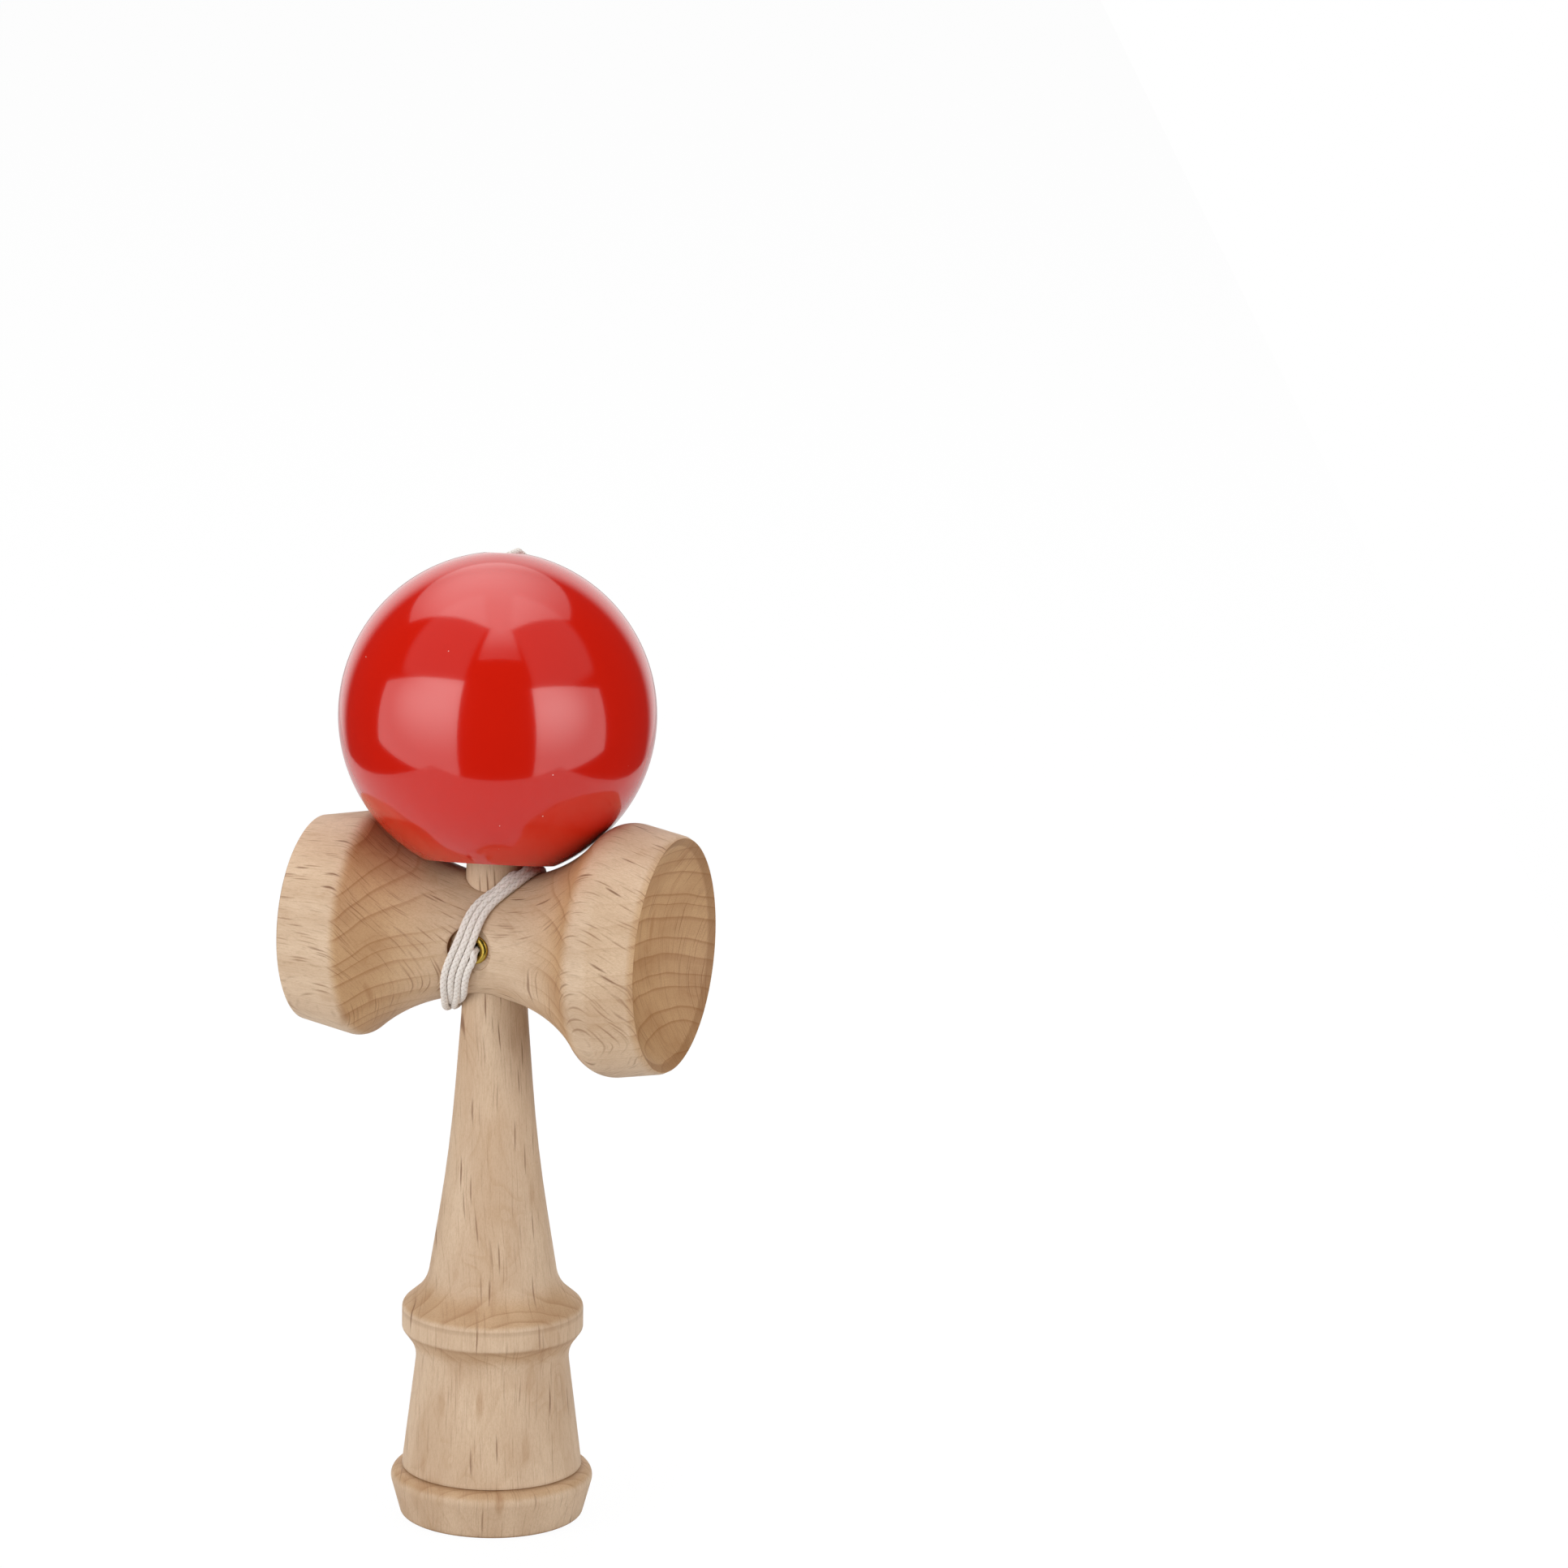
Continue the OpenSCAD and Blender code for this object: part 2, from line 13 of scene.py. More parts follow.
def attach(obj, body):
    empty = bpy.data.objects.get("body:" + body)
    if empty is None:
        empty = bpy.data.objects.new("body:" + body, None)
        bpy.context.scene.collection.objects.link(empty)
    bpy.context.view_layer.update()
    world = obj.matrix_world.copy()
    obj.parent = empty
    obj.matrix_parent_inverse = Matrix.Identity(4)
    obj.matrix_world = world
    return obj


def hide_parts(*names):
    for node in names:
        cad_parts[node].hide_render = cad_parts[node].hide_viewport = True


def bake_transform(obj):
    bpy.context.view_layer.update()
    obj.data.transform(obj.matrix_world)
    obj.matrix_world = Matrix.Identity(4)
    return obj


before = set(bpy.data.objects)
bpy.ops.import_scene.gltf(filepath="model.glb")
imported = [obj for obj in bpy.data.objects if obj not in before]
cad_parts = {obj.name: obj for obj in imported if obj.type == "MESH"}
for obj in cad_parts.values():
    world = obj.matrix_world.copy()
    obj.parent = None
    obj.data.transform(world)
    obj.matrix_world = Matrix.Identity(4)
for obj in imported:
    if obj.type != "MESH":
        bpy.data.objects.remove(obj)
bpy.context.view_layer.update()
scene = bpy.context.scene

MM = 0.001
PICTURE_PX = 1932

# Camera, fitted to the round edges of the object in the picture
CAMERA_PLACE = (0.550836, -1.376469, 0.508616)
CAMERA_TURN = (0.7742884, 0.6086636, 0.1009141, 0.1407923)
CAMERA_FOCAL_PX = 10000.0
SENSOR_W = 36.0
CLIP_NEAR = 0.05
CLIP_FAR = 20.0

# Handle, with stations of its outline as (radius, height, rounding)
HANDLE_LEN = 160.0
FOOT_CUP_R = 15.5
FOOT_CUP_DEPTH = 5.4
FOOT_EDGE = (17.4, 0.0, 0.8)
FLANGE = (19.75, 8.6, 2.0)
GRIP_R = 17.2
GROOVE_Z = 9.35
GROOVE_DEPTH = 0.35
NECK = (14.35, 33.0, 6.5)
RING_LOW = (17.3, 37.0, 1.2)
RING_HIGH = (17.3, 41.6, 1.7)
COVE = (12.6, 45.6, 8.0)
GRIP_TOP = (8.3, 72.3, 300.0)
SHAFT_TOP = (6.2, 100.5, 150.0)
SPIKE = (4.95, 150.0, 12.0)
SPIKE_TIP = (2.1, HANDLE_LEN, 2.2)
HANDLE_STEP = 0.5
HANDLE_SIDES = 160

# Cross-piece
CROSS_Z = 114.0
WAIST_R = 11.45
BIG_CUP = {
    "rim_x": 36.2, "rim_r": 22.4, "lean": 10.1, "shoulder": 6.8, "flare": 27.4, "angle": 50.9, "depth": 9.2,
}
SMALL_CUP = {
    "rim_x": 36.7, "rim_r": 19.5, "lean": 10.4, "shoulder": 3.6, "flare": 34.9, "angle": 42.2, "depth": 7.0,
}
RIM_LAND = 0.4
RIM_ROUND = 0.35
BEVEL_W = 1.2
BEVEL_DEPTH = 0.8
SPOT_R = 4.4
SPOT_ROUND = 0.35
SPOT_SIDE = -0.6
SPOT_Y = WAIST_R - 0.85
FIT_GAP = 0.05
CROSS_STEP = 0.65
CROSS_SIDES = 240

# Ball
BALL_AXIS = np.array([-0.0390623, 0.221534, 0.97437])
BALL_SETTLES = 0.95
BALL_MIDDLE = np.array([-1.2, 3.6, 157.0155]) - BALL_AXIS * BALL_SETTLES
BALL_R = 30.0
BALL_POLAR_R = 30.8
HOLE_R = 11.0
HOLE_BEVEL = 1.25
HOLE_END = 20.0
STRING_HOLE_R = 1.2
SINK_R = 4.0
SINK_DEPTH = 2.6
BALL_SIDES = 192

# Eyelet, bead and knots
EYELET_FLANGE_R = 2.8
EYELET_FLANGE_T = 0.65
EYELET_BARREL_R = 1.9
EYELET_BARREL_LEN = 3.4
EYELET_BORE_R = 1.3
EYELET_SIDES = 96
BEAD_R = 4.0
BEAD_SIDES = 72
BEAD_EASE = 0.3
KNOT_LEN = 3.2
KNOT_GAP = 0.3
KNOT_SIZE = 0.42
KNOT_THIN = 0.86

# String
STRING_D = 1.40
CAD_STRING_D = 1.35
TURN_PITCH = 1.38
LAST_TURN = 3.0
BUNCH_LIFT = 1.15
WIND_START = 0.05
WIND_TURNS = 3.4
STRING_GAP = 0.06
STRING_SIDE = 0.55
EXIT_BEND = 0.9
TOP_BEND = 2.0
BACK_ANGLE = 100.0
TOP_ANGLE = 11.0
STRING_WAY_R = 1.175
STRING_WAY_BACK = -6.0
STRING_WAY_FRONT = 8.0
POCKET_R = 2.2
POCKET_MOUTH = -8.0

# How much painted shade darkens each crease, recess and edge of the turned wood
CREASE_SHADE = {"groove": 0.4, "crease": 0.6, "foot": 0.35, "ring": 0.3, "rim": 0.55, "spot": 0.7, "bore": 0.6}


# Camera

def place_camera():
    """Stands the camera where the picture was taken from, with the picture's middle on its axis."""
    data = bpy.data.cameras.new("camera")
    data.sensor_width = SENSOR_W
    data.lens = CAMERA_FOCAL_PX / PICTURE_PX * SENSOR_W
    data.clip_start = CLIP_NEAR
    data.clip_end = CLIP_FAR
    camera = bpy.data.objects.new("camera", data)
    camera.location = CAMERA_PLACE
    camera.rotation_mode = "QUATERNION"
    camera.rotation_quaternion = CAMERA_TURN
    scene.collection.objects.link(camera)
    scene.camera = camera


place_camera()


# Meshes and frames

# The closest that points of an outline lie, and the sharpest edges that are shaded smooth, in degrees
CLOSEST = 0.02
WOOD_CREASE = 32
SMALL_CREASE = 40


def unit(v):
    """A vector, or each of a row of them, at length 1."""
    return v / np.linalg.norm(v, axis=-1, keepdims=True)


def axes_along(axis):
    """Three square directions as rows, the last along axis and the first as near X as it can be."""
    w = unit(np.asarray(axis, float))
    u = unit(np.array([1.0, 0.0, 0.0]) - w * w[0])
    return np.stack([u, np.cross(w, u), w])


WAIST = np.array([0.0, 0.0, CROSS_Z])
UPRIGHT = (np.zeros(3), np.eye(3))
ON_CROSS = (WAIST, np.array([[0.0, 1.0, 0.0], [0.0, 0.0, 1.0], [1.0, 0.0, 0.0]]))
TO_FRONT = (WAIST, np.array([[1.0, 0.0, 0.0], [0.0, 0.0, 1.0], [0.0, -1.0, 0.0]]))
ON_BALL = (BALL_MIDDLE, axes_along(BALL_AXIS))
BALL_BACK = unit(np.array([0.0, 1.0, 0.0]) - BALL_AXIS * BALL_AXIS[1])


def mesh_object(name, points, faces):
    """An object at the origin from points in millimetres and arrays of faces, each of one corner count."""
    mesh = bpy.data.meshes.new(name)
    corners = np.concatenate([f.ravel() for f in faces]).astype(np.int32)
    sizes = np.concatenate([np.full(len(f), f.shape[1]) for f in faces])
    starts = np.concatenate([[0], np.cumsum(sizes)[:-1]]).astype(np.int32)
    mesh.vertices.add(len(points))
    mesh.vertices.foreach_set("co", (points * MM).astype(np.float32).ravel())
    mesh.loops.add(len(corners))
    mesh.loops.foreach_set("vertex_index", corners)
    mesh.polygons.add(len(sizes))
    mesh.polygons.foreach_set("loop_start", starts)
    mesh.polygons.foreach_set("use_smooth", np.ones(len(sizes), bool))
    mesh.update(calc_edges=True)
    mesh.validate()
    piece = bpy.data.objects.new(name, mesh)
    scene.collection.objects.link(piece)
    return piece


def set_mask(piece, name, values):
    """Stores one value per point as a named attribute that a material can read."""
    attribute = piece.data.attributes.new(name, "FLOAT", "POINT")
    attribute.data.foreach_set("value", np.asarray(values, np.float32).ravel())


def rounded(stations, step=2.5):
    """Outline through stations (radius, height, rounding), where a rounded station becomes an arc.

    The arc is tangent to both sides: its middle lies on the corner's bisector, rounding / sin(half the
    corner's angle) from the corner, and its points are at most step degrees apart.
    """
    flat = np.array([s[:2] for s in stations], float)
    parts = []
    for i, station in enumerate(stations):
        rad = station[2]
        if rad == 0:
            parts.append(flat[i:i + 1])
            continue
        u = unit(flat[i - 1] - flat[i])
        v = unit(flat[i + 1] - flat[i])
        half = math.acos(np.clip(u @ v, -1.0, 1.0)) / 2
        middle = flat[i] + unit(u + v) * rad / math.sin(half)
        first = flat[i] + u * rad / math.tan(half) - middle
        sweep = math.pi - 2 * half
        turn = -1.0 if u[0] * v[1] - u[1] * v[0] > 0 else 1.0
        count = max(4, math.ceil(math.degrees(sweep) / step))
        a = math.atan2(first[1], first[0]) + turn * np.linspace(0.0, sweep, count + 1)
        parts.append(middle + rad * columns(np.cos(a), np.sin(a)))
    return np.concatenate(parts)


def columns(first, second):
    """Two rows of numbers as the columns of one array."""
    return np.stack([first, second], axis=1)


def run_of(path):
    """Distance along a path at each of its points."""
    return np.concatenate([[0.0], np.cumsum(np.linalg.norm(np.diff(path, axis=0), axis=1))])


def divided(outline, step):
    """The outline with extra points on its straight runs, so that no run is longer than step."""
    along = run_of(outline)
    at = np.unique(np.concatenate([along, np.arange(0.0, along[-1], step)]).round(6))
    at = at[np.concatenate([[True], np.diff(at) > CLOSEST])]
    return columns(np.interp(at, along, outline[:, 0]), np.interp(at, along, outline[:, 1]))


def skin(name, points, around, count, closed):
    """A mesh over rings of points, count of them in turn, each joined to the next.

    A closed one joins its last ring to its first. Any other has two tips after its rings, with a fan of
    triangles from one to the first ring and from the other to the last.
    """
    j = np.arange(around)
    k = (j + 1) % around
    rows = np.arange(count if closed else count - 1)[:, None]
    nexts = (rows + 1) % count * around
    rows = rows * around
    faces = [np.stack([rows + j, rows + k, nexts + k, nexts + j], axis=2).reshape(-1, 4)]
    if not closed:
        tip = np.full(around, count * around)
        last = (count - 1) * around
        faces.append(np.stack([tip, k, j], axis=1))
        faces.append(np.stack([tip + 1, last + j, last + k], axis=1))
    piece = mesh_object(name, points, faces)
    face_outwards(piece)
    return piece


def turned(name, outline, around, place, closed=False):
    """Surface of revolution: outline point (r, h) goes to (r cos a, r sin a, h) at evenly spaced angles a.

    An outline that isn't closed begins and ends on the axis. The result is carried into the given place.
    """
    a = np.linspace(0.0, 2.0 * np.pi, around, endpoint=False)
    rings = outline if closed else outline[1:-1]
    r = rings[:, :1]
    h = np.repeat(rings[:, 1:], around, axis=1)
    points = np.stack([r * np.cos(a), r * np.sin(a), h], axis=2).reshape(-1, 3)
    if not closed:
        points = np.concatenate([points, [[0.0, 0.0, outline[0, 1]], [0.0, 0.0, outline[-1, 1]]]])
    origin, rows3 = place
    return skin(name, points @ rows3 + origin, around, len(rings), closed)


def rod(name, low, high, r, around=48, place=TO_FRONT, top_r=None):
    """A rod between two heights, tapered if it has a radius for its top, to cut with."""
    outline = np.array([[0.0, low], [r, low], [top_r or r, high], [0.0, high]])
    return turned(name, outline, around, place)


def cap(mouth, depth, count):
    """Radii of a cap of a sphere and their heights over its middle, from its middle to its mouth.

    The sphere's radius is (mouth^2 + depth^2) / 2 depth.
    """
    bowl = (mouth ** 2 + depth ** 2) / (2 * depth)
    a = np.linspace(0.0, math.asin(mouth / bowl), count)
    return bowl * np.sin(a), bowl * (1 - np.cos(a))


def face_outwards(piece):
    """Turns a closed mesh's faces so that its volume, summed over its triangles, comes out positive."""
    mesh = piece.data
    mesh.calc_loop_triangles()
    index = np.zeros(len(mesh.loop_triangles) * 3, np.int32)
    mesh.loop_triangles.foreach_get("vertices", index)
    p = points_of(piece)[index.reshape(-1, 3)]
    if np.einsum("ij,ij->i", p[:, 0], np.cross(p[:, 1], p[:, 2])).sum() < 0:
        mesh.flip_normals()


def cut(piece, *tools):
    """Takes the tools' solids out of the piece and removes the tools."""
    for tool in tools:
        step = piece.modifiers.new("cut", "BOOLEAN")
        step.operation = "DIFFERENCE"
        step.solver = "EXACT"
        step.object = tool
    graph = bpy.context.evaluated_depsgraph_get()
    solid = piece.evaluated_get(graph)
    mesh = bpy.data.meshes.new_from_object(solid, preserve_all_data_layers=True, depsgraph=graph)
    piece.modifiers.clear()
    piece.data = mesh
    for tool in tools:
        bpy.data.objects.remove(tool)


def crisp(piece, degrees):
    """The piece with edges sharper than the given angle kept crisp under smooth shading."""
    piece.data.set_sharp_from_angle(angle=math.radians(degrees))
    return piece


def near(value, centre, width):
    """A soft mark that is 1 at centre and fades over width."""
    return np.exp(-((value - centre) / width) ** 2)


def points_of(piece):
    """The piece's points in millimetres."""
    co = np.zeros(len(piece.data.vertices) * 3, np.float32)
    piece.data.vertices.foreach_get("co", co)
    return co.reshape(-1, 3).astype(float) / MM


# String: the winding round the waist, and the free stretch over the ball

def taper_r(z):
    """Radius of the spike's fine taper at a height."""
    return SHAFT_TOP[0] + (SPIKE[0] - SHAFT_TOP[0]) * (z - SHAFT_TOP[1]) / (SPIKE[1] - SHAFT_TOP[1])


OFF = STRING_D / 2 + STRING_GAP
SPIKE_CLEAR = taper_r(CROSS_Z + WAIST_R) + OFF + 0.1
MOST_ASIDE = 1.2
LEAST_FRONT = 0.2
RATE_STEP = 0.004
SMOOTH_SPAN = 9
TURN_POINTS = 1200

# Where the last turn lies: degrees round the waist, 0 in front and 90 on top, and mm towards the big cup
TURN_ANGLES = np.radians([
    -150, -120, -105, -90, -75, -60, -40, -27, -16, -6, 3, 12, 22, 31, 41, 52,
    65, 75, 90, 105, 120, 150, 180,
])
TURN_PLACES = np.array([
    -4.6, -7.6, -8.6, -8.85, -8.3, -7.5, -6.31, -5.51, -4.85, -4.18, -3.22, -2.49, -1.87, -1.23, -0.49, 0.6,
    3.0, 5.2, 6.5, 5.8, 3.8, 0.9, -1.8,
])
TURN_WAVES = 5


def waves(a):
    """Columns 1, cos ka and sin ka for k up to TURN_WAVES."""
    k = np.arange(1, TURN_WAVES + 1)
    return np.concatenate([np.ones((len(a), 1)), np.cos(a[:, None] * k), np.sin(a[:, None] * k)], axis=1)


TURN_SERIES = np.linalg.lstsq(waves(TURN_ANGLES), TURN_PLACES, rcond=None)[0]


def across(a):
    """Sideways place of the last turn at angle a: the series of waves that best fits its places."""
    return waves(a) @ TURN_SERIES


def bunched(a):
    """How far the turns are squeezed together: sin a to the sixth, 1 beside shaft and spike, 0 in front."""
    return np.sin(a) ** 6


def wound(t):
    """Middle line of the winding after t turns, from in front of the waist, down and round.

    Each turn lies one lead beside the next, which keeps them a pitch apart square to the string. Beside the
    shaft and the spike the lead halves and every second turn rides on the two beside it. The radius follows
    the waist and the hollow flares, and grows where the string would otherwise run into the spike.
    """
    a = -2 * np.pi * t
    rate = (across(a + RATE_STEP) - across(a - RATE_STEP)) / (2 * RATE_STEP)
    bunch = bunched(a)
    lead = TURN_PITCH * np.sqrt(1 + (rate / (WAIST_R + OFF)) ** 2) * (1 - bunch / 2)
    x = across(a) + (LAST_TURN - t) * lead
    hollow = np.where(x > 0, BIG_CUP["flare"], SMALL_CUP["flare"])
    r = WAIST_R + hollow - np.sqrt((hollow - OFF) ** 2 - x ** 2)
    r = r + BUNCH_LIFT * bunch * (np.floor(t) % 2)
    front = np.cos(a)
    need = np.sqrt(np.clip(SPIKE_CLEAR ** 2 - x ** 2, 0.0, None)) / np.clip(abs(front), LEAST_FRONT, None)
    r = np.where(np.sin(a) > 0, np.maximum(r, np.minimum(need, r + MOST_ASIDE)), r)
    return np.stack([x, -r * front, CROSS_Z + r * np.sin(a)], axis=1)


def way(t):
    """Direction of the winding after t turns."""
    return unit(np.diff(wound(np.array([t - RATE_STEP, t + RATE_STEP])), axis=0)[0])


def join(a, da, b, db, pull, s):
    """Cubic that leaves a along da and arrives at b along db."""
    s = s[:, None]
    rise = 3 * s ** 2 - 2 * s ** 3
    return a * (1 - rise) + da * pull * (s ** 3 - 2 * s ** 2 + s) + b * rise + db * pull * (s ** 3 - s ** 2)


def spaced(path, step):
    """The path again with points evenly spaced, about step apart."""
    along = run_of(path)
    at = np.linspace(0.0, along[-1], max(8, round(along[-1] / step)))
    return np.stack([np.interp(at, along, path[:, k]) for k in range(3)], axis=1)


def smoothed(path):
    """The path with its kinks eased by a running mean over SMOOTH_SPAN points; its ends stay."""
    mean = np.ones(SMOOTH_SPAN) / SMOOTH_SPAN
    inner = np.stack([np.convolve(path[:, k], mean, "valid") for k in range(3)], axis=1)
    end = SMOOTH_SPAN // 2
    return np.concatenate([path[:end], inner, path[-end:]])


def winding_path():
    """From the anchor knot out through the eyelet, a bend down, the turns, and a short way straight on."""
    exit_y = SPOT_Y + EYELET_FLANGE_T
    knot_y = taper_r(CROSS_Z) - KNOT_LEN - 2 * KNOT_GAP
    b = np.linspace(0.0, np.pi / 2, 16)
    inside = np.linspace([STRING_SIDE, knot_y, CROSS_Z], [STRING_SIDE, -exit_y, CROSS_Z], 40)
    bend = np.stack([
        np.full_like(b, STRING_SIDE),
        -exit_y - EXIT_BEND * np.sin(b),
        CROSS_Z - EXIT_BEND * (1 - np.cos(b)),
    ], axis=1)
    start = wound(np.array([WIND_START]))[0]
    pull = np.linalg.norm(start - bend[-1])
    share = np.linspace(0.0, 1.0, 40)[1:]
    down = join(bend[-1], np.array([0.0, 0.0, -1.0]), start, way(WIND_START), pull, share)
    turns = smoothed(wound(np.linspace(WIND_START, WIND_TURNS, TURN_POINTS)[1:]))
    leave = turns[-1] + way(WIND_TURNS) * CAD_STRING_D
    return np.concatenate([inside, bend[1:], down, turns, leave[None]])


def over_ball(a):
    """Middle line of the string on the back of the ball, a degrees from the ball's top."""
    a = np.radians(np.atleast_1d(a))[:, None]
    lift = BALL_R + (BALL_POLAR_R - BALL_R) * np.cos(a) ** 2 + OFF
    return BALL_MIDDLE + (BALL_AXIS * np.cos(a) + BALL_BACK * np.sin(a)) * lift


def free_path():
    """From the back of the waist up the ball's back, into the hole at its top and down to the bead."""
    last = way(WIND_TURNS)
    leave = wound(np.array([WIND_TURNS]))[0] + last * CAD_STRING_D
    start = leave + last * CAD_STRING_D
    meet = over_ball(BACK_ANGLE)[0]
    a = math.radians(BACK_ANGLE)
    arrive = BALL_AXIS * math.sin(a) - BALL_BACK * math.cos(a)
    pull = np.linalg.norm(meet - start)
    rise = join(start, last, meet, arrive, pull, np.linspace(0.0, 1.0, 160))
    crown = over_ball(np.linspace(BACK_ANGLE, TOP_ANGLE, 200)[1:])
    b = np.linspace(0.0, np.pi / 2, 24)[:, None]
    sink_s = BALL_POLAR_R - SINK_DEPTH
    hook = BALL_MIDDLE + BALL_AXIS * (sink_s + TOP_BEND) + BALL_BACK * TOP_BEND
    bend = hook - BALL_BACK * TOP_BEND * np.sin(b) - BALL_AXIS * TOP_BEND * (1 - np.cos(b))
    bead_low = HOLE_END - KNOT_GAP - 2 * BEAD_R
    inside = np.linspace(bend[-1], BALL_MIDDLE + BALL_AXIS * bead_low, 60)[1:]
    return np.concatenate([leave[None], rise, crown, bend, inside])


BRAID_STRANDS = 4
BRAID_LAY = 5.4
BRAID_RELIEF = 0.17
BRAID_SIDES = 32
BRAID_STEP = 0.13


def braid_relief(u, v):
    """Height of a round braid, 0 to 1, at u turns round it and v lays along it.

    Two families of strands run at u + v and u - v. In each cell the family on top, which alternates like a
    chequerboard, bulges across its own width and dips towards the cell's two ends.
    """
    a = BRAID_STRANDS * (u + v)
    b = BRAID_STRANDS * (u - v)
    wave_a = np.sin(np.pi * (a - np.floor(a)))
    wave_b = np.sin(np.pi * (b - np.floor(b)))
    first_on_top = (np.floor(a) + np.floor(b)) % 2 == 0
    top_a = wave_a ** 0.6 * (0.5 + 0.5 * wave_b)
    top_b = wave_b ** 0.6 * (0.5 + 0.5 * wave_a)
    return np.where(first_on_top, top_a, top_b)


def braided(name, path, diameter):
    """Braided string along a path: rings square to the way there, with the braid's height on their radius.

    The ring's first direction is the one square to the way that lies nearest to X. The ends close in a point
    a third of a diameter past the last rings.
    """
    line = spaced(path, BRAID_STEP)
    w = unit(np.gradient(line, axis=0))
    u3 = unit(np.array([1.0, 0.0, 0.0]) - w * w[:, :1])
    v3 = np.cross(w, u3)
    turn = np.arange(BRAID_SIDES) / BRAID_SIDES
    height = braid_relief(turn[None, :], run_of(line)[:, None] / BRAID_LAY)
    rad = (diameter / 2 * (1 - BRAID_RELIEF + BRAID_RELIEF * height))[..., None]
    cos = np.cos(2 * np.pi * turn)[None, :, None]
    sin = np.sin(2 * np.pi * turn)[None, :, None]
    points = (line[:, None] + rad * (u3[:, None] * cos + v3[:, None] * sin)).reshape(-1, 3)
    ends = np.stack([line[0] - w[0] * diameter / 3, line[-1] + w[-1] * diameter / 3])
    piece = skin(name, np.concatenate([points, ends]), BRAID_SIDES, len(line), closed=False)
    set_mask(piece, "braid_height", np.concatenate([height.ravel(), [1.0, 1.0]]))
    return piece, line * MM


def knot_path(place):
    """A tight overhand knot: the trefoil sin t + 2 sin 2t, cos t - 2 cos 2t, -1.6 sin 3t."""
    t = np.linspace(0.15, 2 * np.pi - 0.15, 240)
    x = np.sin(t) + 2 * np.sin(2 * t)
    y = np.cos(t) - 2 * np.cos(2 * t)
    z = -1.6 * np.sin(3 * t)
    origin, rows3 = place
    return (np.stack([x, y, z], axis=1) * KNOT_SIZE) @ rows3 + origin


string_wound, wound_line = braided("string_wound", winding_path(), STRING_D)
string_free, free_line = braided("string_free", free_path(), STRING_D)
KNOT_Y = taper_r(CROSS_Z) - KNOT_LEN / 2 - 2 * KNOT_GAP
KNOT_S = HOLE_END - KNOT_GAP - 2 * BEAD_R - KNOT_LEN / 2
anchor_tie = (np.array([0.0, KNOT_Y, CROSS_Z]), TO_FRONT[1])
bead_tie = (BALL_MIDDLE + BALL_AXIS * KNOT_S, ON_BALL[1])
knot_at_handle, _ = braided("knot_at_handle", knot_path(anchor_tie), STRING_D * KNOT_THIN)
knot_at_bead, _ = braided("knot_at_bead", knot_path(bead_tie), STRING_D * KNOT_THIN)

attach(string_wound, "handle")
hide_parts("string_in_handle", "string_winding")
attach(knot_at_handle, "handle")
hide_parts("anchor_knot")
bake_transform(string_free)
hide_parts("string_to_ball", "string_in_ball")
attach(knot_at_bead, "bead")
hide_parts("bead_knot")


# Turned wood, ball, eyelet and bead

def make_handle():
    """The handle's outline turned about Z, from the foot cup's middle to the spike's tip."""
    cup_r, cup_rise = cap(FOOT_CUP_R, FOOT_CUP_DEPTH, 40)
    cup = columns(cup_r, FOOT_CUP_DEPTH - cup_rise)
    stations = [
        (FOOT_CUP_R, 0.0, 0), FOOT_EDGE, FLANGE, (GRIP_R, GROOVE_Z, 0),
        (GRIP_R - GROOVE_DEPTH, GROOVE_Z + GROOVE_DEPTH / 2, 0), (GRIP_R, GROOVE_Z + GROOVE_DEPTH, 0),
        NECK, RING_LOW, RING_HIGH, COVE, GRIP_TOP, SHAFT_TOP, SPIKE, SPIKE_TIP, (0.0, HANDLE_LEN, 0),
    ]
    outline = divided(np.concatenate([cup[:-1], rounded(stations)]), HANDLE_STEP)
    piece = turned("handle_wood", outline, HANDLE_SIDES, UPRIGHT)
    string_way = rod("string_way", STRING_WAY_BACK, STRING_WAY_FRONT, STRING_WAY_R)
    pocket_floor = -(taper_r(CROSS_Z) - KNOT_LEN - 2 * KNOT_GAP)
    pocket = rod("pocket", POCKET_MOUTH, pocket_floor, POCKET_R)
    cut(piece, string_way, pocket)
    p = points_of(piece)
    z = p[:, 2]
    r = np.linalg.norm(p[:, :2], axis=1)
    # Painted shade: the groove, the creases at the ring and the foot's bottom edge are darkened
    groove = CREASE_SHADE["groove"] * near(z, GROOVE_Z + 0.15, 0.3) * (r < GRIP_R + 0.3)
    crease = CREASE_SHADE["crease"] * near(z, RING_HIGH[1] - 1.0, 0.25) * (r > RING_HIGH[0] - 0.3)
    foot = CREASE_SHADE["foot"] * near(z, 0.0, 0.5)
    lower = CREASE_SHADE["ring"] * near(z, RING_LOW[1] - 0.4, 0.5)
    set_mask(piece, "painted_shade", np.clip(groove + crease + foot + lower, 0, 1))
    return crisp(piece, WOOD_CREASE)


